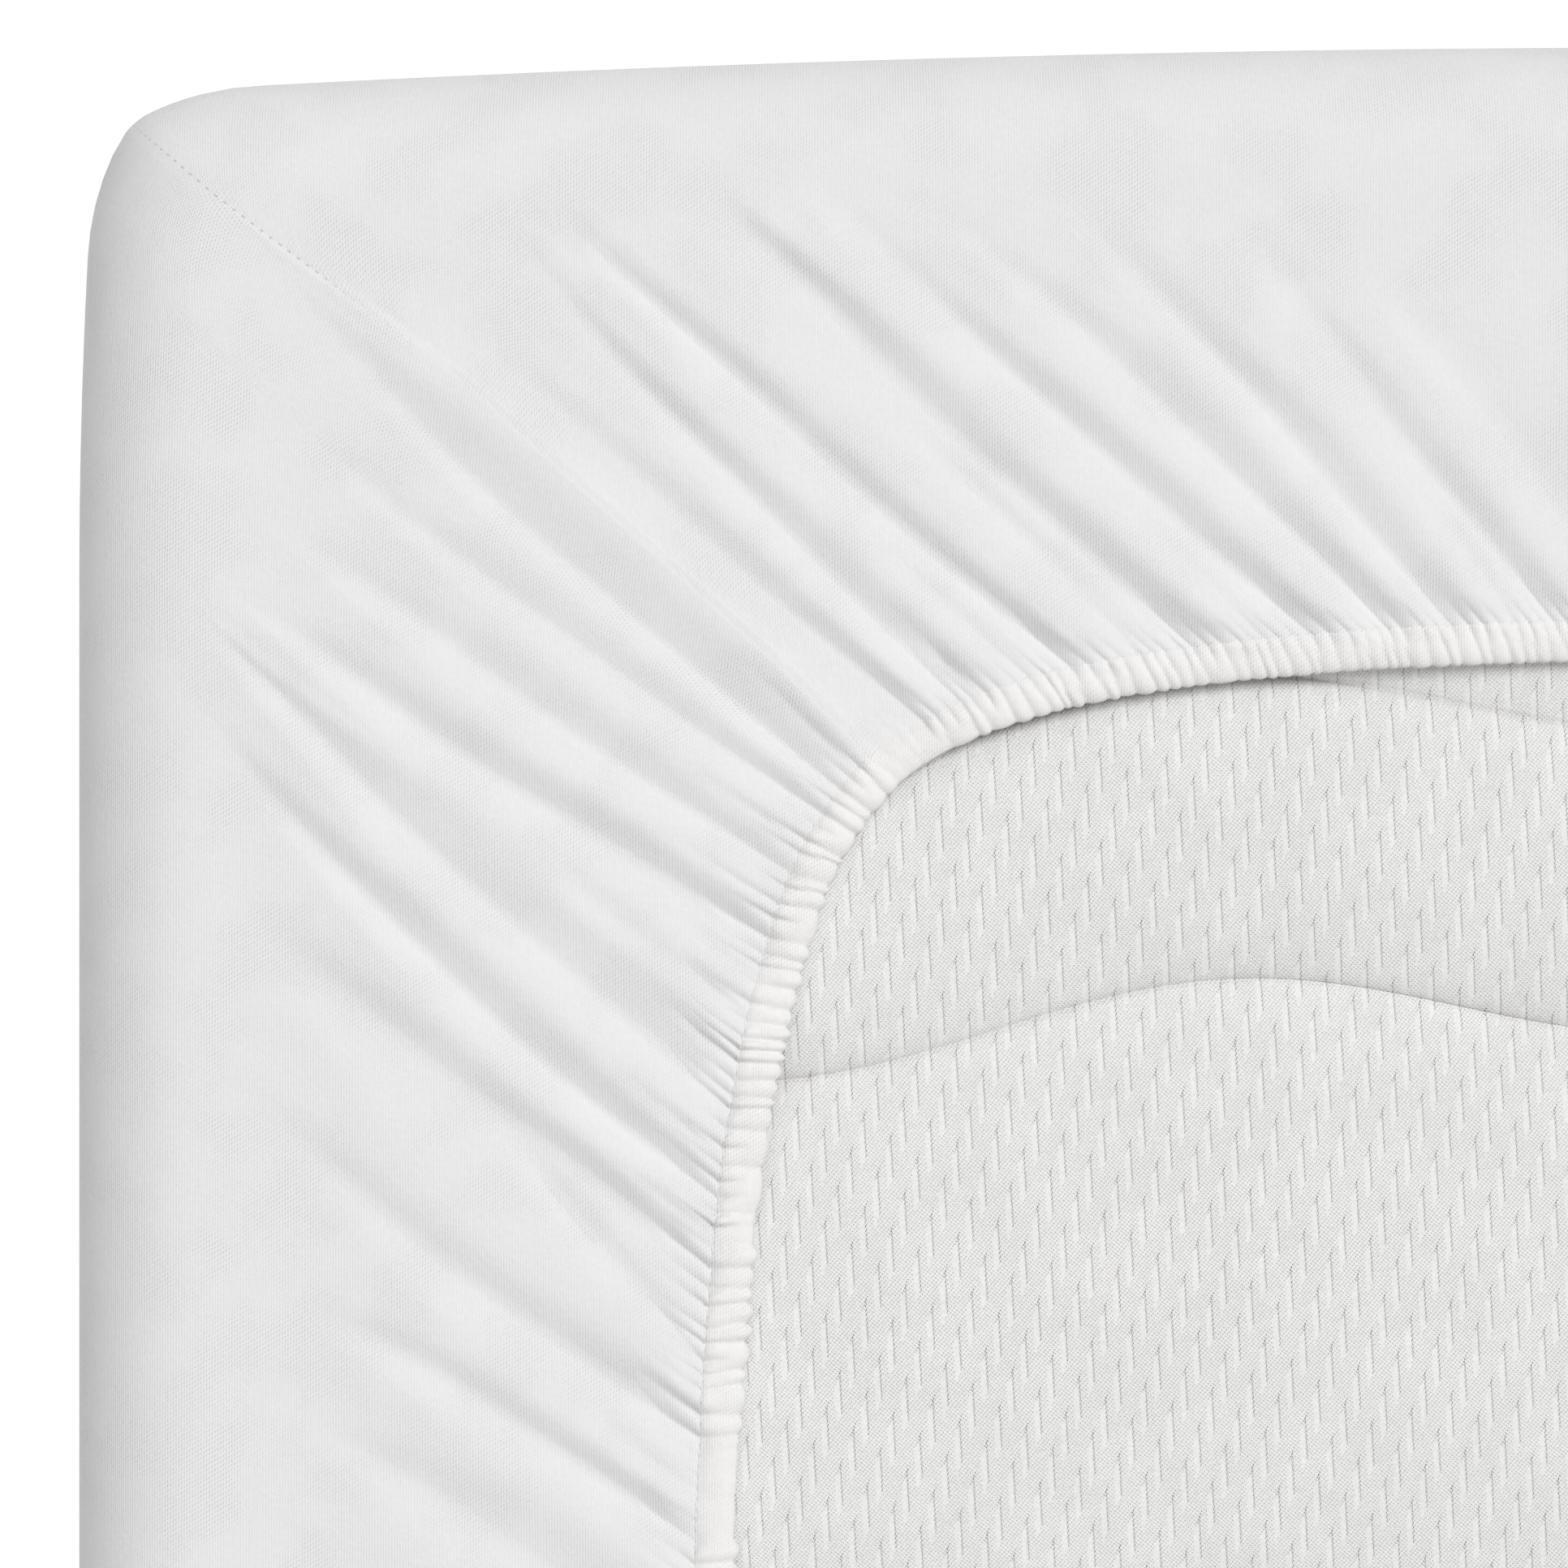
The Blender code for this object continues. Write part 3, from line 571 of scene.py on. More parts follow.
def seam_relief(beside, across):
    """The seam's own groove, with a ridge on its long side that passes to its short side."""
    groove = -SEAM_GROOVE * np.exp(-((beside / SEAM_GROOVE_WIDTH) ** 2))
    passing = smooth((across - SEAM_PASS_START) / SEAM_PASS_OVER)
    first = np.exp(-(((beside - SEAM_RIDGE_WIDTH) / SEAM_RIDGE_WIDTH) ** 2)) * (1 - passing)
    last = np.exp(-(((beside + SEAM_RIDGE_WIDTH) / SEAM_RIDGE_WIDTH) ** 2)) * passing
    faded = smooth((across - SEAM_FADE_START) / SEAM_FADE_OVER)
    return (groove + SEAM_RIDGE * (first + last)) * (1 - faded)


# A row of the mesh: plan points and heights in the first quarter, and the places on the stitch line and on
# the outline. path is the distance along the cloth from the edge of the under panel, as far as the upper
# rim, and inner the way on from that rim in plan. beside and along are counted from the row of stitches.
Row = namedtuple("Row", "plan height hem edge path inner beside along")

ARC_LENGTH = EDGE_RADIUS * math.pi / 2
WALL_HEIGHT = CLOTH_TOP - 2 * EDGE_RADIUS
RIM_PATH = 2 * ARC_LENGTH + WALL_HEIGHT


def directions(heading):
    """The directions along and inwards at these headings."""
    ahead = np.stack([np.cos(heading), np.sin(heading)], axis=-1)
    inward = np.stack([-np.sin(heading), np.cos(heading)], axis=-1)
    return ahead, inward


def way_in(hem):
    """Where cloth leaves the outline, its way to the stitch line, and the directions along and inwards."""
    start, heading = OUTLINE.place(edge_at(hem))
    end, _ = STITCH_LINE.place(hem)
    return start, end - start, *directions(heading)


def face_row(number, hem, share, outside=None, height_share=1.0, lower=0.0):
    """A row of the upper cloth: at a share of the way from its rim, or this far outside the stitch line.

    height_share is what is left of the cloth's height there, and lower is how far the row lies under it.
    """
    start, way, ahead, inward = way_in(hem)
    length = np.hypot(way[:, 0], way[:, 1])
    rim = EDGE_RADIUS / (way * inward).sum(axis=1)
    within = share if outside is None else (1 - outside / length - rim) / (1 - rim)
    across = rim + within * (1 - rim)
    bend = np.interp(hem, KNOT_HEMS, KNOT_BENDS)
    wiggle = CREASE_WIGGLE * np.sin(2 * np.pi * (WIGGLE_TURNS * across + hem / WIGGLE_LENGTH))
    bow = (bend + wiggle * away_from_ends(hem)) * np.sin(np.pi * np.clip(within, 0.0, 1.0))
    plan = start + way * across[:, None] + ahead * bow[:, None]
    edge = edge_at(hem)
    beside = edge + (hem - edge) * across
    distance = (1 - across) * length
    reach = np.interp(hem, PUCKER_PLACES, PUCKER_REACHES)
    tall = np.interp(hem, PUCKER_PLACES, PUCKER_HEIGHTS)
    pucker = tall * gather(number, hem) * np.exp(-((np.maximum(distance, 0.0) / reach) ** PUCKER_FALL))
    eased = smooth(within / RIM_EASE)
    raised = fold_height(number, hem, across) + pucker + ripple(hem, across) + seam_relief(beside, across)
    height = MATTRESS_TOP + (CLOTH_BASE + raised * eased) * height_share - lower
    height = np.maximum(height, MATTRESS_TOP + LEAST_LIFT)
    path = RIM_PATH * np.ones(len(hem))
    inner = plan - start - way * rim[:, None]
    return Row(plan, height, hem, edge, path, inner, beside, RIM_PATH + (across - rim) * length)


# A step round the edge: how far inside the outline, how high, where on the cloth's path, and how rippled.
EdgeStep = namedtuple("EdgeStep", "inset height path ripple")


def edge_row(hem, step):
    """A row round the edge and wall."""
    edge = edge_at(hem)
    start, way, _, inward = way_in(hem)
    turned = 2 * np.pi * edge / WALL_RIPPLE_LENGTH + WALL_RIPPLE_TURN * step.path / ARC_LENGTH
    out = WALL_RIPPLE * step.ripple * (1 + np.sin(turned))
    depth = (step.inset + out * away_from_ends(hem)) / (way * inward).sum(axis=1)
    plan = start + way * depth[:, None]
    height = np.full(len(hem), step.height)
    path = np.full(len(hem), step.path)
    return Row(plan, height, hem, edge, path, np.zeros((len(hem), 2)), edge, path)


def section_height(section, relief):
    """The height of the hem over the mattress at this row of its section."""
    return MM * (section.groove + (section.crest - section.groove) * relief)


def hem_row(number, hem, section):
    """A row of the hem. Its gathers lean and scallop its inner edge. It starts at the cloth's height."""
    width = np.interp(hem, HEM_PLACES, HEM_WIDTHS)
    crest = gather(number, hem, section.inwards)
    scalloped = smooth((section.inwards - SCALLOP_START) / (1 - SCALLOP_START))
    scallop = np.interp(hem, HEM_PLACES, HEM_SCALLOPS) * (crest - SCALLOP_MIDDLE) * scalloped
    inwards = width * section.inwards + scallop
    lean = np.interp(hem, LEAN_PLACES, GATHER_LEANS)
    place = hem - lean * np.maximum(inwards, 0.0)
    point, heading = STITCH_LINE.place(place)
    _, inward = directions(heading)
    plan = point + inward * inwards[:, None]
    relief = crest * np.interp(hem, HEM_PLACES, HEM_RELIEFS)
    height = MATTRESS_TOP + section_height(section, relief)
    outermost = MATTRESS_TOP + section_height(OUTER_SECTION, relief)
    cloth = face_row(number, hem, 1.0)
    pinched = cloth.height - np.interp(hem, HEM_PLACES, PINCH_DEPTHS)
    follows = 1 - smooth(section.inwards / PINCH_REACH)
    height = height + np.clip(pinched - outermost, -PINCH_LIMIT, PINCH_LIMIT) * follows * section.upper
    inner = plan - cloth.plan + cloth.inner
    return Row(plan, height, hem, edge_at(hem), cloth.path, inner, inwards, hem)


def unique_places(*groups):
    """Places in order, without the ones that almost meet."""
    places = np.unique(np.concatenate(groups))
    keep = np.concatenate([[True], np.diff(places) > LEAST_SPACING])
    keep[-1] = True
    keep[-2] &= places[-1] - places[-2] > LEAST_SPACING
    return places[keep]


def between(stops, shares):
    """The stops, and places between each two of them."""
    widths = np.diff(stops)
    inner = stops[:-1, None] + widths[:, None] * np.array(shares)[None, :]
    return np.concatenate([stops, inner.ravel()])


def evenly(count):
    """Shares of the way between two stops for this many places."""
    return np.arange(1, count + 1) / (count + 1)


def mesh_columns(stops, fine_shares, coarse_shares):
    """Places with a column, for each quarter. They are finer where the cloth is looked at closely."""
    near = stops[stops < FINE_REACH]
    fine = between(near, fine_shares)
    coarse = between(stops, coarse_shares)
    seam = np.array(SEAM_COLUMNS)
    places = [unique_places(coarse, -seam, seam) for _ in QUARTERS]
    places[FINE_QUARTER] = unique_places(fine, coarse[coarse >= near[-1]], -seam, seam)
    return places


def turn_outwards(mesh):
    """Turns all faces of the mesh outwards."""
    bm = bmesh.new()
    bm.from_mesh(mesh)
    bmesh.ops.recalc_face_normals(bm, faces=bm.faces[:])
    bm.to_mesh(mesh)
    bm.free()


class Surface:
    """Rings of points round the whole loop, joined into one mesh.

    It has two maps: the cut cloth, laid flat from the short sides or from the long sides, and the places
    beside and along the rows of stitches.
    """

    def __init__(self):
        self.points = []
        self.shorts = []
        self.longs = []
        self.lines = []
        self.hems = []
        self.count = 0
        self.faces = []
        self.caps = []

    def ring(self, places, row_of):
        """Adds a closed ring, and returns its keys round the loop and its numbers."""
        keys = []
        for number, quarter in enumerate(QUARTERS):
            order = places[number][:-1] if quarter.from_short else places[number][:0:-1]
            row = row_of(number, order)
            signs = np.array([quarter.x, quarter.y])
            self.points.append(np.column_stack([row.plan * signs, row.height]))
            across = row.path - EDGE_RADIUS
            drift = row.plan - OUTLINE.place(row.edge)[0]
            short_across = MATTRESS_LENGTH / 2 + across - row.inner[:, 1]
            long_across = MATTRESS_WIDTH / 2 + across + row.inner[:, 0]
            short = np.column_stack([drift[:, 0] - OUTLINE.short_length - row.edge, short_across])
            long = np.column_stack([-long_across, drift[:, 1] + OUTLINE.long_length - row.edge])
            self.shorts.append(short * signs)
            self.longs.append(long * signs)
            self.lines.append(np.column_stack([row.beside, row.along]))
            self.hems.append(row.hem)
            within = order - SHORT_END[0] if quarter.from_short else LONG_END[0] - order
            keys.append(number * LOOP_QUARTER + within)
        keys = np.concatenate(keys)
        numbers = np.arange(self.count, self.count + len(keys))
        self.count += len(keys)
        return keys, numbers

    def join(self, lower, upper):
        """Triangles between two rings, always stepping to the point whose key comes next."""
        whole = LOOP_QUARTER * len(QUARTERS)
        low_next = np.append(lower[0][1:], lower[0][0] + whole)
        up_next = np.append(upper[0][1:], upper[0][0] + whole)
        order = np.argsort(np.concatenate([low_next, up_next]), kind="stable")
        from_low = order < len(low_next)
        low = np.cumsum(from_low) - from_low
        up = np.cumsum(~from_low) - ~from_low
        low_after = lower[1][(low + 1) % len(low_next)]
        up_after = upper[1][(up + 1) % len(up_next)]
        third = np.where(from_low, low_after, up_after)
        near = lower[1][low % len(low_next)]
        far = upper[1][up % len(up_next)]
        self.faces.append(np.column_stack([near, third, far]))

    def join_all(self, rings):
        """Joins each ring to the next."""
        for lower, upper in zip(rings, rings[1:]):
            self.join(lower, upper)

    def cap(self, ring):
        """A flat face inside a ring."""
        self.caps.append(ring[1])

    def make(self, name, material):
        """The finished object. Its faces look outwards."""
        points = np.concatenate(self.points)
        faces = np.concatenate(self.faces)
        corners = points[faces]
        volume = np.einsum("ij,ij->i", corners[:, 0], np.cross(corners[:, 1], corners[:, 2])).sum()
        if volume < 0:
            faces = faces[:, ::-1]
        mesh = bpy.data.meshes.new(name)
        caps = [list(map(int, cap)) for cap in self.caps]
        mesh.from_pydata(points.tolist(), [], faces.tolist() + caps)
        side = np.concatenate(self.hems)[faces].mean(axis=1) > 0
        short = np.concatenate(self.shorts)[faces]
        long = np.concatenate(self.longs)[faces]
        cut = np.where(side[:, None, None], long, short).reshape(-1, 2)
        lines = np.concatenate(self.lines)[faces].reshape(-1, 2)
        for cap in self.caps:
            cut = np.concatenate([cut, points[cap][:, :2]])
            lines = np.concatenate([lines, np.ones((len(cap), 2))])
        for label, values in (("cut", cut), ("lines", lines)):
            layer = mesh.uv_layers.new(name=label)
            layer.data.foreach_set("uv", values.astype(np.float32).ravel())
        mesh.validate()
        turn_outwards(mesh)
        return dressed(name, mesh, material)


def dressed(name, mesh, material):
    """An object of this mesh, smooth and with its material."""
    mesh.shade_smooth()
    mesh.materials.append(material)
    made = bpy.data.objects.new(name, mesh)
    bpy.context.scene.collection.objects.link(made)
    return made


def edge_rings(surface, places, radius, steps, ripple):
    """Rings from the upper rim round the edge, down the wall and round the lower edge."""
    high_centre = CLOTH_TOP - EDGE_RADIUS
    rows = []
    for angle in np.linspace(math.pi / 2, 0, steps + 1):
        path = RIM_PATH - ARC_LENGTH * (1 - angle / (math.pi / 2))
        height = high_centre + radius * math.sin(angle)
        rows.append(EdgeStep(EDGE_RADIUS - radius * math.cos(angle), height, path, 0.0))
    for step in range(1, WALL_STEPS + 1):
        share = step / (WALL_STEPS + 1)
        height = high_centre - WALL_HEIGHT * share
        path = ARC_LENGTH + WALL_HEIGHT * (1 - share)
        rows.append(EdgeStep(EDGE_RADIUS - radius, height, path, ripple * math.sin(math.pi * share)))
    for angle in np.linspace(0, math.pi / 2, steps + 1):
        path = ARC_LENGTH * (1 - angle / (math.pi / 2))
        height = EDGE_RADIUS - radius * math.sin(angle)
        rows.append(EdgeStep(EDGE_RADIUS - radius * math.cos(angle), height, path, 0.0))
    return [surface.ring(places, lambda number, hem, row=row: edge_row(hem, row)) for row in rows]


def make_cloth(material):
    """The sheet without its hem: a thin closed shell, folded and puckered outside and plainer inside."""
    surface = Surface()
    close = mesh_columns(GROOVES, FINE_GATHER_SHARES, GATHER_SHARES)
    folds = mesh_columns(KNOT_HEMS, *map(evenly, FOLD_COLUMNS))
    wide = mesh_columns(KNOT_HEMS, *map(evenly, EDGE_COLUMNS))
    plain = mesh_columns(KNOT_HEMS, (PLAIN_PEAK,), (PLAIN_PEAK,))
    outer = [
        surface.ring(
            close,
            lambda number, hem, end=end: face_row(number, hem, 1.0, end.outside, end.height_share),
        )
        for end in reversed(GATHER_ROWS)
    ]
    outer += [
        surface.ring(folds, lambda number, hem, share=share: face_row(number, hem, share))
        for share in np.linspace(LAST_FOLD_ROW, 0.0, FOLD_ROWS)[:-1]
    ]
    outer += edge_rings(surface, wide, EDGE_RADIUS, EDGE_STEPS, 1.0)
    inner = [
        surface.ring(plain, lambda number, hem, share=share: face_row(number, hem, share, lower=CLOTH))
        for share in INNER_ROWS
    ]
    inner += edge_rings(surface, plain, EDGE_RADIUS - CLOTH, INNER_EDGE_STEPS, 0.0)
    surface.join_all([inner[0], *outer])
    surface.join_all(inner)
    surface.cap(outer[-1])
    surface.cap(inner[-1])
    return surface.make("sheet_cloth", material)


def make_hem(material):
    """The turned hem, gathered, as a closed roll along the stitch line."""
    surface = Surface()
    places = mesh_columns(GROOVES, FINE_GATHER_SHARES, GATHER_SHARES)
    rings = [
        surface.ring(places, lambda number, hem, section=section: hem_row(number, hem, section))
        for section in HEM_SECTION
    ]
    surface.join_all([*rings, rings[0]])
    return surface.make("sheet_hem", material)


def make_stitches(material):
    """The row of stitches in the pinch of the hem, each a short spindle of thread."""
    points = []
    faces = []
    angles = 2 * np.pi * np.arange(STITCH_SIDES) / STITCH_SIDES
    rounds = np.arange(STITCH_SIDES)
    for number, quarter in enumerate(QUARTERS):
        count = round(LOOP_QUARTER / STITCH_PITCH)
        middles = SHORT_END[0] + (np.arange(count) + 0.5) * LOOP_QUARTER / count
        centres, headings = STITCH_LINE.place(middles)
        heights = face_row(number, middles, 1.0).height - STITCH_SINK
        for centre, heading, height in zip(centres, headings, heights):
            ahead = np.array([math.cos(heading), math.sin(heading), 0.0])
            aside = np.array([math.sin(heading), -math.cos(heading), 0.0])
            base = np.array([*centre, height]) + aside * STITCH_OUTSIDE
            start = len(points)
            points.append(base - ahead * STITCH_LENGTH / 2 - [0, 0, STITCH_RADIUS])
            for share in (-STITCH_SHOULDER, STITCH_SHOULDER):
                for angle in angles:
                    turned = aside * math.cos(angle) + np.array([0, 0, math.sin(angle)])
                    points.append(base + ahead * STITCH_LENGTH * share + turned * STITCH_RADIUS)
            points.append(base + ahead * STITCH_LENGTH / 2 - [0, 0, STITCH_RADIUS])
            first = start + 1 + rounds
            first_next = start + 1 + (rounds + 1) % STITCH_SIDES
            second = first + STITCH_SIDES
            second_next = first_next + STITCH_SIDES
            tip = start + 1 + 2 * STITCH_SIDES
            faces.extend((start, int(a), int(b)) for a, b in zip(first_next, first))
            faces.extend(
                (int(a), int(b), int(c), int(d)) for a, b, c, d in zip(first, first_next, second_next, second)
            )
            faces.extend((tip, int(a), int(b)) for a, b in zip(second, second_next))
            for index in range(start, len(points)):
                points[index] = points[index] * [quarter.x, quarter.y, 1]
    mesh = bpy.data.meshes.new("hem_stitches")
    mesh.from_pydata([tuple(point) for point in points], [], faces)
    turn_outwards(mesh)
    return dressed("hem_stitches", mesh, material)


def quilt_depth(share):
    """How far the face is drawn down at a share of the way from one quilting line to the next."""
    crown = QUILT_RISE_CROWN if share < QUILT_MIDDLE else QUILT_ROLL_CROWN
    return QUILT_DEPTH * (1 - math.sin(math.pi * share) ** crown)


def quilt_point(line, step, share, column, raised):
    """A point of the quilted face: column counts from the left, and share runs from this line to the next."""
    x = -QUILT_HALF_WIDTH + 2 * QUILT_HALF_WIDTH * column / QUILT_COLUMNS
    from_origin = x - QUILT_ORIGIN[0]
    wave = QUILT_WAVE_HEIGHT * math.cos(2 * math.pi * from_origin / QUILT_WAVE_LENGTH)
    y = QUILT_ORIGIN[1] + (line + share * step) * QUILT_PITCH + wave + math.tan(QUILT_TILT) * from_origin
    fade = float(smooth((QUILT_HALF_WIDTH - abs(x)) / QUILT_FADE)) if raised else 0.0
    return Vector((x, y, MATTRESS_TOP - quilt_depth(share) * fade))


def quilted_field(bm):
    """The wavy channels, as rows from the middle of the first to that of the last. Returns the rim."""
    channels = [*zip(QUILT_LINES, QUILT_LINES[1:]), (QUILT_LINES[-1], QUILT_LINES[-1] + QUILT_LAST_STEP)]
    rows = [(line, after - line, share) for line, after in channels for share in QUILT_STEPS]
    middle = QUILT_STEPS.index(QUILT_MIDDLE)
    rows = rows[middle : len(rows) - len(QUILT_STEPS) + middle + 1]
    grid = []
    for number, (line, step, share) in enumerate(rows):
        raised = 0 < number < len(rows) - 1
        points = [quilt_point(line, step, share, column, raised) for column in range(QUILT_COLUMNS + 1)]
        grid.append([bm.verts.new(point) for point in points])
    for near, far in zip(grid, grid[1:]):
        for column in range(QUILT_COLUMNS):
            bm.faces.new((near[column], near[column + 1], far[column + 1], far[column]))
    return [edge for edge in bm.edges if len(edge.link_faces) == 1]


def make_mattress(material):
    """The mattress: a soft-edged block with its quilted face up."""
    bm = bmesh.new()
    rim = quilted_field(bm)
    high_centre = MATTRESS_TOP - MATTRESS_EDGE_RADIUS
    low_centre = MATTRESS_BOTTOM + MATTRESS_EDGE_RADIUS
    inset = CLOTH + EDGE_CLEARANCE + MATTRESS_EDGE_RADIUS
    angles = np.linspace(math.pi / 2, 0, MATTRESS_EDGE_ROWS)
    rows = [(angle, high_centre + MATTRESS_EDGE_RADIUS * math.sin(angle)) for angle in angles]
    rows += [(angle, low_centre - MATTRESS_EDGE_RADIUS * math.sin(angle)) for angle in reversed(angles)]
    edges = np.linspace(SHORT_END[1], LONG_END[1], MATTRESS_COLUMNS)
    rings = []
    for angle, height in rows:
        ring = []
        step = EdgeStep(inset - MATTRESS_EDGE_RADIUS * math.cos(angle), height, 0.0, 0.0)
        for quarter in QUARTERS:
            order = edges[:-1] if quarter.from_short else edges[:0:-1]
            for x, y in edge_row(hem_at(order), step).plan:
                ring.append(bm.verts.new((x * quarter.x, y * quarter.y, height)))
        rings.append(ring)
    for lower, upper in zip(rings, rings[1:]):
        for index in range(len(lower)):
            after = (index + 1) % len(lower)
            bm.faces.new((lower[index], lower[after], upper[after], upper[index]))
    bm.faces.new(rings[-1])
    top = rings[0]
    rim += [bm.edges.get((near, far)) for near, far in zip(top, top[1:] + top[:1])]
    bmesh.ops.triangle_fill(bm, use_beauty=True, edges=rim)
    bmesh.ops.recalc_face_normals(bm, faces=bm.faces[:])
    mesh = bpy.data.meshes.new("mattress_ticking")
    bm.to_mesh(mesh)
    bm.free()
    return dressed("mattress_ticking", mesh, material)


# How a noise is set.
Noise = namedtuple("Noise", "scale detail roughness")

# The cloth: its colours, and its knit with rows of loops, pinholes between them, clouds, nap and fuzz.
COTTON_COLOUR = (0.788, 0.780, 0.786)
HEM_COLOUR = (0.845, 0.833, 0.828)
COTTON_SHADE = (0.66, 0.655, 0.645)
WALE_PITCH = 0.00076
COURSE_PITCH = 0.00128
COURSE_STAGGER = 0.55
COTTON_CLOUDS = Noise(95.0, 3.0, 0.55)
COTTON_NAP = Noise(620.0, 3.0, 0.6)
COTTON_FUZZ = Noise(2300.0, 2.0, 0.6)
COTTON_WEAR = Noise(38.0, 2.0, 0.5)
WEAR_RAMP = (0.40, 0.60, 0.15, 1.0)
PIN_WALE_RAMP = (0.60, 1.0)
PIN_COURSE_RAMP = (0.45, 1.0)
WALE_RAMP = (0.50, 1.0)
COTTON_CLOUD_RAMP = (0.64, 0.34)
NAP_RAMP = (0.68, 0.32)
PIN_SHADE = 0.55
WALE_SHADE = 0.06
COTTON_CLOUD_SHADE = 0.05
NAP_SHADE = 0.16
NAP_RELIEF = 0.9
COTTON_FUZZ_RELIEF = 0.5
WALE_RELIEF = -0.30
PIN_RELIEF = -0.5
COTTON_RELIEF = 0.00016
COTTON_ROUGHNESS = 1.0
COTTON_SHEEN = 0.10

# A row of needle holes with painted shade in them: their pitch, how far they lie beside the line, between
# which places along it, and how dark the painted shade is.
HoleShade = namedtuple("HoleShade", "pitch beside low high strength")
HOLE_SHADE_COLOUR = (0.34, 0.33, 0.31)
HOLE_LENGTH_RAMP = (0.22, 0.12)
HOLE_WIDTH_RAMP = (0.00030, 0.00014)
HOLES_FADE_IN = 0.02
HOLES_FADE_OUT = 0.03
SEAM_HOLE_SHADE = HoleShade(0.0031, 0.0, RIM_PATH - 0.05, RIM_PATH + 0.055, 0.5)
HEM_HOLE_SHADE = HoleShade(STITCH_PITCH, 0.0002, 0.07, LONG_END[0] + 0.03, 0.25)

# The sewing thread.
THREAD_COLOUR = (0.84, 0.84, 0.83)
THREAD_TWIST = Noise(3600.0, 2.0, 0.5)
THREAD_TWIST_SHADE = 0.4
THREAD_RELIEF = 0.00008
THREAD_ROUGHNESS = 0.8

# The ticking's knitted pattern: short dotted lines, each one step right and up from the next. A column
# repeats further down, and every line leans. Beside a line lies a light band, at its top sits a small hook,
# and fine holes fill the ground between.
TICKING_COLOUR = (0.845, 0.838, 0.828)
TICKING_SHADE = (0.36, 0.355, 0.34)
TICKING_LIGHT = (0.860, 0.856, 0.856)
TICKING_START = Vector((-0.2587, 0.7023))
TICKING_RIGHT = Vector((0.00352, 0.00968))
TICKING_DOWN = Vector((0.00022, -0.02508))
TICKING_LEAN = math.radians(3.5)
TICKING_LINE = 0.0114
LINE_START_RAMP = (-0.0001, 0.0003)
LINE_END_RAMP = (TICKING_LINE, TICKING_LINE - 0.0004)
TICKING_DOT_PITCH = 0.00120
DOT_RAMP = (0.45, 0.95)
TICKING_DOT = 0.00017
DOT_WIDTH_RAMP = (1.5 * TICKING_DOT, 0.6 * TICKING_DOT)
BAND_FAR_RAMP = (-0.0018, -0.0014)
BAND_NEAR_RAMP = (-0.0002, -0.0004)
BAND_LIGHT = 0.2
TICKING_HOOK = (0.0001, 0.0003)
HOOK_STRETCH = 0.4
HOOK_RAMP = (0.0007, 0.0003)
HOOK_KNIT_RAMP = (0.2, 0.9)
KNIT_RISING = (768.0, 970.0)
KNIT_FALLING = (852.0, -699.0)
KNIT_RAMP = (0.25, 1.0)
KNIT_IN_BAND = -0.8
TICKING_CLOUDS = Noise(60.0, 2.0, 0.5)
TICKING_FUZZ = Noise(1500.0, 2.0, 0.5)
TICKING_CLOUD_RAMP = (0.62, 0.36)
TICKING_FUZZ_RAMP = (0.66, 0.34)
MARK_SHADE = 0.85
HOOK_SHADE = 0.62
KNIT_SHADE = 0.42
TICKING_CLOUD_SHADE = 0.05
TICKING_FUZZ_SHADE = 0.16
MARK_RELIEF = -0.5
HOOK_RELIEF = -0.5
KNIT_RELIEF = -0.7
TICKING_FUZZ_RELIEF = 0.4
TICKING_RELIEF = 0.00018
TICKING_ROUGHNESS = 0.9

# The dull gloss of every surface.
SPECULAR = 0.25
SHEEN_ROUGHNESS = 0.6

# The studio: an even dome, a soft key light from above the short side, and the camera over the corner.
DOME_HORIZON = 0.02
DOME_ZENITH = 0.90
DOME_COLOUR = (1.0, 1.0, 0.985, 1.0)
KEY_STRENGTH = 1.70
KEY_COLOUR = (0.985, 0.99, 1.0)
KEY_SPREAD = 0.45
KEY_FROM = (0.42, 0.32, 0.85)
FLOOR_SIZE = 8.0
FLOOR_DROP = 0.0004
FLOOR_COLOUR = (0.08, 0.08, 0.08, 1.0)
FLOOR_ROUGHNESS = 1.0
FLOOR_GLOW_COLOUR = (1.0, 1.0, 1.0, 1.0)
FLOOR_GLOW = 0.95
CAMERA_PLACE = (-0.2588, 0.800)
CAMERA_HEIGHT = 1.6
CAMERA_NEAREST = 0.01
VIEW_WIDTH = 0.42504
SENSOR_MM = 36.0


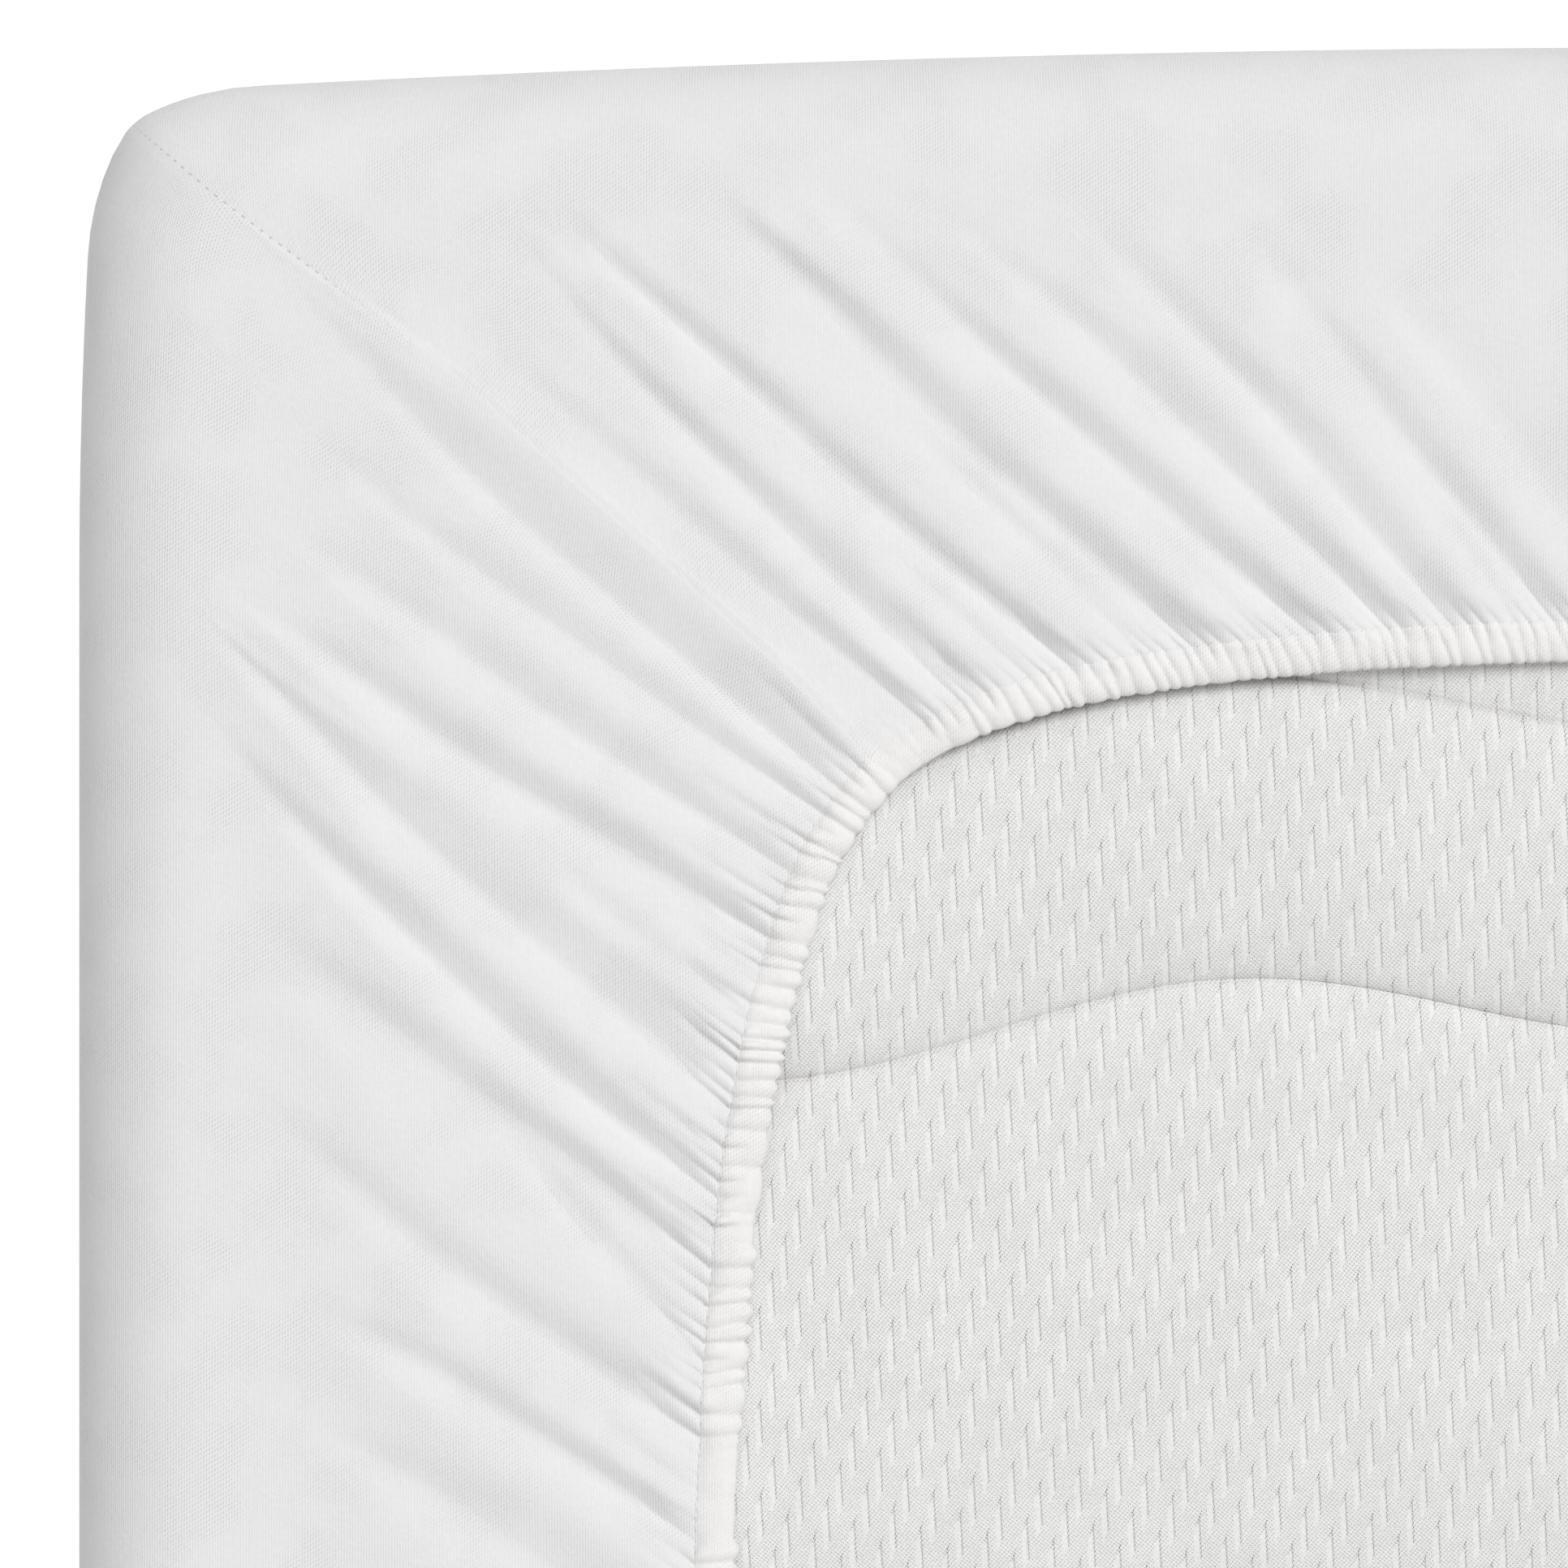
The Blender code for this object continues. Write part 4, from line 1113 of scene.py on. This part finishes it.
class Graph:
    """Builds a material's node tree, one short call for each node."""

    def __init__(self, name):
        self.material = bpy.data.materials.new(name)
        self.material.use_nodes = True
        self.tree = self.material.node_tree
        self.shader = self.tree.nodes["Principled BSDF"]

    def put(self, socket, value):
        """Sets a socket, or links it to another node's socket."""
        if isinstance(value, bpy.types.NodeSocket):
            self.tree.links.new(value, socket)
        else:
            socket.default_value = value

    def math(self, operation, first, second=0.0, third=0.0):
        """A sum on one, two or three values."""
        node = self.tree.nodes.new("ShaderNodeMath")
        node.operation = operation
        for socket, value in zip(node.inputs, (first, second, third)):
            self.put(socket, value)
        return node.outputs[0]

    def product(self, *values):
        """All these values multiplied."""
        total = values[0]
        for value in values[1:]:
            total = self.math("MULTIPLY", total, value)
        return total

    def total(self, *values):
        """All these values added."""
        total = values[0]
        for value in values[1:]:
            total = self.math("ADD", total, value)
        return total

    def ramp(self, value, low, high, to_low=0.0, to_high=1.0):
        """Eases a value between two ends. low may be above high."""
        node = self.tree.nodes.new("ShaderNodeMapRange")
        node.interpolation_type = "SMOOTHSTEP"
        for socket, given in zip(node.inputs, (value, low, high, to_low, to_high)):
            self.put(socket, given)
        return node.outputs[0]

    def wave(self, value, pitch):
        """A sine from 0 to 1 that repeats at each pitch."""
        turned = self.math("MULTIPLY", value, 2 * math.pi / pitch)
        return self.math("MULTIPLY_ADD", self.math("SINE", turned), 0.5, 0.5)

    def noise(self, vector, noise):
        """Noise of about 0 to 1."""
        node = self.tree.nodes.new("ShaderNodeTexNoise")
        self.put(node.inputs["Vector"], vector)
        node.inputs["Scale"].default_value = noise.scale
        node.inputs["Detail"].default_value = noise.detail
        node.inputs["Roughness"].default_value = noise.roughness
        return node.outputs["Fac"]

    def mix(self, share, first, second):
        """A colour between two colours."""
        node = self.tree.nodes.new("ShaderNodeMix")
        node.data_type = "RGBA"
        colours = [(*colour, 1.0) if isinstance(colour, tuple) else colour for colour in (first, second)]
        for socket, value in zip((node.inputs[0], node.inputs[6], node.inputs[7]), (share, *colours)):
            self.put(socket, value)
        return node.outputs[2]

    def map(self, name):
        """The two coordinates of one of the mesh's maps, and the vector itself."""
        node = self.tree.nodes.new("ShaderNodeUVMap")
        node.uv_map = name
        split = self.tree.nodes.new("ShaderNodeSeparateXYZ")
        self.put(split.inputs[0], node.outputs[0])
        return split.outputs[0], split.outputs[1], node.outputs[0]

    def place(self):
        """The place on the object, in metres, and the vector itself."""
        node = self.tree.nodes.new("ShaderNodeTexCoord")
        split = self.tree.nodes.new("ShaderNodeSeparateXYZ")
        self.put(split.inputs[0], node.outputs["Object"])
        return split.outputs[0], split.outputs[1], node.outputs["Object"]

    def bump(self, height, distance):
        """Surface relief of this depth."""
        node = self.tree.nodes.new("ShaderNodeBump")
        node.inputs["Distance"].default_value = distance
        self.put(node.inputs["Height"], height)
        self.put(self.shader.inputs["Normal"], node.outputs[0])

    def finish(self, colour, roughness, sheen=0.0):
        """Sets the shader's own values."""
        self.put(self.shader.inputs["Base Color"], colour)
        self.shader.inputs["Roughness"].default_value = roughness
        self.shader.inputs["Specular IOR Level"].default_value = SPECULAR
        self.shader.inputs["Sheen Weight"].default_value = sheen
        self.shader.inputs["Sheen Roughness"].default_value = SHEEN_ROUGHNESS
        return self.material


def brushed_cotton(name, base, holes):
    """Knitted cotton with a soft nap, and a row of needle holes along the stitches with painted shade in
    them.
    """
    graph = Graph(name)
    x, y, cut = graph.map("cut")
    wales = graph.wave(x, WALE_PITCH)
    courses = graph.wave(graph.math("MULTIPLY_ADD", x, COURSE_STAGGER, y), COURSE_PITCH)
    clouds = graph.noise(cut, COTTON_CLOUDS)
    nap = graph.noise(cut, COTTON_NAP)
    fuzz = graph.noise(cut, COTTON_FUZZ)
    worn = graph.ramp(graph.noise(cut, COTTON_WEAR), *WEAR_RAMP)
    pins = graph.product(graph.ramp(wales, *PIN_WALE_RAMP), graph.ramp(courses, *PIN_COURSE_RAMP), worn)
    across, along, _ = graph.map("lines")
    turn = graph.math("FRACT", graph.math("DIVIDE", along, holes.pitch))
    slot = graph.ramp(graph.math("ABSOLUTE", graph.math("SUBTRACT", turn, 0.5)), *HOLE_LENGTH_RAMP)
    aside = graph.math("ABSOLUTE", graph.math("SUBTRACT", across, holes.beside))
    reach = graph.product(
        graph.ramp(along, holes.low, holes.low + HOLES_FADE_IN),
        graph.ramp(along, holes.high, holes.high - HOLES_FADE_OUT),
    )
    hole_shade_mask = graph.product(slot, graph.ramp(aside, *HOLE_WIDTH_RAMP), reach)
    shade = graph.total(
        graph.product(pins, PIN_SHADE),
        graph.product(graph.ramp(wales, *WALE_RAMP), WALE_SHADE),
        graph.product(graph.ramp(clouds, *COTTON_CLOUD_RAMP), COTTON_CLOUD_SHADE),
        graph.product(graph.ramp(nap, *NAP_RAMP), NAP_SHADE),
    )
    colour = graph.mix(shade, base, COTTON_SHADE)
    # Painted shade: the needle holes are darkened by a dark colour that stands in for the shade inside them.
    colour = graph.mix(graph.product(hole_shade_mask, holes.strength), colour, HOLE_SHADE_COLOUR)
    relief = graph.total(
        graph.product(nap, NAP_RELIEF),
        graph.product(fuzz, COTTON_FUZZ_RELIEF),
        graph.product(wales, WALE_RELIEF),
        graph.product(pins, PIN_RELIEF),
    )
    graph.bump(relief, COTTON_RELIEF)
    return graph.finish(colour, COTTON_ROUGHNESS, COTTON_SHEEN)


def thread():
    """The hem's sewing thread."""
    graph = Graph("sewing_thread")
    _, _, place = graph.place()
    twist = graph.noise(place, THREAD_TWIST)
    graph.bump(twist, THREAD_RELIEF)
    shade = graph.product(twist, THREAD_TWIST_SHADE)
    return graph.finish(graph.mix(shade, THREAD_COLOUR, COTTON_SHADE), THREAD_ROUGHNESS)


def knitted_ticking():
    """Pale ticking: fine knitted holes, with short dotted lines that each have a light band beside them."""
    graph = Graph("knitted_ticking")
    x, y, place = graph.place()
    right, down = TICKING_RIGHT, TICKING_DOWN
    area = right.cross(down)
    ahead = Vector((math.sin(TICKING_LEAN), -math.cos(TICKING_LEAN)))
    x = graph.math("SUBTRACT", x, TICKING_START.x)
    y = graph.math("SUBTRACT", y, TICKING_START.y)
    columns = graph.total(graph.product(x, down.y / area), graph.product(y, -down.x / area), 0.5)
    repeats = graph.total(graph.product(x, -right.y / area), graph.product(y, right.x / area))
    repeat = graph.math("FRACT", repeats)
    lean = ahead.cross(down) / right.cross(ahead)
    aside = graph.math("SUBTRACT", graph.math("FRACT", columns), 0.5)
    aside = graph.math("MULTIPLY_ADD", repeat, -lean, aside)
    aside = graph.product(aside, area / -down.length)
    along = graph.product(repeat, area / right.cross(ahead))
    within = graph.product(graph.ramp(along, *LINE_START_RAMP), graph.ramp(along, *LINE_END_RAMP))
    dots = graph.ramp(graph.wave(along, TICKING_DOT_PITCH), *DOT_RAMP)
    line = graph.ramp(graph.math("ABSOLUTE", aside), *DOT_WIDTH_RAMP)
    marks = graph.product(line, dots, within)
    band = graph.product(graph.ramp(aside, *BAND_FAR_RAMP), graph.ramp(aside, *BAND_NEAR_RAMP), within)
    rising, falling = (
        graph.wave(graph.total(graph.product(x, across), graph.product(y, up)), 1.0)
        for across, up in (KNIT_RISING, KNIT_FALLING)
    )
    hook_x = graph.math("ADD", aside, TICKING_HOOK[0])
    hook_y = graph.math("SUBTRACT", along, TICKING_HOOK[1])
    square = graph.total(graph.product(hook_x, hook_x, HOOK_STRETCH), graph.product(hook_y, hook_y))
    hook = graph.ramp(graph.math("SQRT", square), *HOOK_RAMP)
    hook = graph.product(hook, graph.ramp(rising, *HOOK_KNIT_RAMP))
    pits = graph.product(graph.ramp(rising, *KNIT_RAMP), graph.ramp(falling, *KNIT_RAMP))
    knit = graph.product(pits, graph.math("MULTIPLY_ADD", band, KNIT_IN_BAND, 1.0))
    clouds = graph.noise(place, TICKING_CLOUDS)
    fuzz = graph.noise(place, TICKING_FUZZ)
    shade = graph.total(
        graph.product(marks, MARK_SHADE),
        graph.product(hook, HOOK_SHADE),
        graph.product(knit, KNIT_SHADE),
        graph.product(graph.ramp(clouds, *TICKING_CLOUD_RAMP), TICKING_CLOUD_SHADE),
        graph.product(graph.ramp(fuzz, *TICKING_FUZZ_RAMP), TICKING_FUZZ_SHADE),
    )
    colour = graph.mix(graph.product(band, BAND_LIGHT), TICKING_COLOUR, TICKING_LIGHT)
    colour = graph.mix(shade, colour, TICKING_SHADE)
    relief = graph.total(
        graph.product(marks, MARK_RELIEF),
        graph.product(hook, HOOK_RELIEF),
        graph.product(knit, KNIT_RELIEF),
        graph.product(fuzz, TICKING_FUZZ_RELIEF),
    )
    graph.bump(relief, TICKING_RELIEF)
    return graph.finish(colour, TICKING_ROUGHNESS)


def plain_floor():
    """A plain white floor."""
    graph = Graph("plain_floor")
    graph.shader.inputs["Emission Color"].default_value = FLOOR_GLOW_COLOUR
    graph.shader.inputs["Emission Strength"].default_value = FLOOR_GLOW
    return graph.finish(FLOOR_COLOUR, FLOOR_ROUGHNESS)


def make_studio():
    """Floor, lights and camera."""
    scene = bpy.context.scene
    scene.view_settings.view_transform = "Standard"
    world = bpy.data.worlds.new("studio")
    world.use_nodes = True
    tree = world.node_tree
    background = tree.nodes["Background"]
    background.inputs["Color"].default_value = DOME_COLOUR
    sky = tree.nodes.new("ShaderNodeTexCoord")
    split = tree.nodes.new("ShaderNodeSeparateXYZ")
    height = tree.nodes.new("ShaderNodeMapRange")
    height.inputs["To Min"].default_value = DOME_HORIZON
    height.inputs["To Max"].default_value = DOME_ZENITH
    tree.links.new(sky.outputs["Generated"], split.inputs[0])
    tree.links.new(split.outputs[2], height.inputs["Value"])
    tree.links.new(height.outputs[0], background.inputs["Strength"])
    scene.world = world
    key = bpy.data.lights.new("key", "SUN")
    key.energy = KEY_STRENGTH
    key.color = KEY_COLOUR
    key.angle = KEY_SPREAD
    lamp = bpy.data.objects.new("key", key)
    lamp.rotation_mode = "QUATERNION"
    lamp.rotation_quaternion = (-Vector(KEY_FROM)).to_track_quat("-Z", "Y")
    scene.collection.objects.link(lamp)
    half = FLOOR_SIZE / 2
    corners = [(x, y, -FLOOR_DROP) for x, y in ((-half, -half), (half, -half), (half, half), (-half, half))]
    mesh = bpy.data.meshes.new("floor")
    mesh.from_pydata(corners, [], [(0, 1, 2, 3)])
    floor = dressed("floor", mesh, plain_floor())
    lens = bpy.data.cameras.new("camera")
    lens.sensor_width = SENSOR_MM
    lens.lens = SENSOR_MM * CAMERA_HEIGHT / VIEW_WIDTH
    lens.clip_start = CAMERA_NEAREST
    camera = bpy.data.objects.new("camera", lens)
    camera.location = (*CAMERA_PLACE, MATTRESS_TOP + CAMERA_HEIGHT)
    scene.collection.objects.link(camera)
    scene.camera = camera


def main():
    """Makes the pieces, seats them on the frame, and lights them."""
    cloth = make_cloth(brushed_cotton("brushed_cotton", COTTON_COLOUR, SEAM_HOLE_SHADE))
    hem = make_hem(brushed_cotton("hem_cotton", HEM_COLOUR, HEM_HOLE_SHADE))
    stitches = make_stitches(thread())
    mattress = make_mattress(knitted_ticking())
    for piece in (cloth, hem, stitches, mattress):
        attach(piece, "root")
    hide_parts("sheet")
    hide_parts("mattress")
    make_studio()


main()
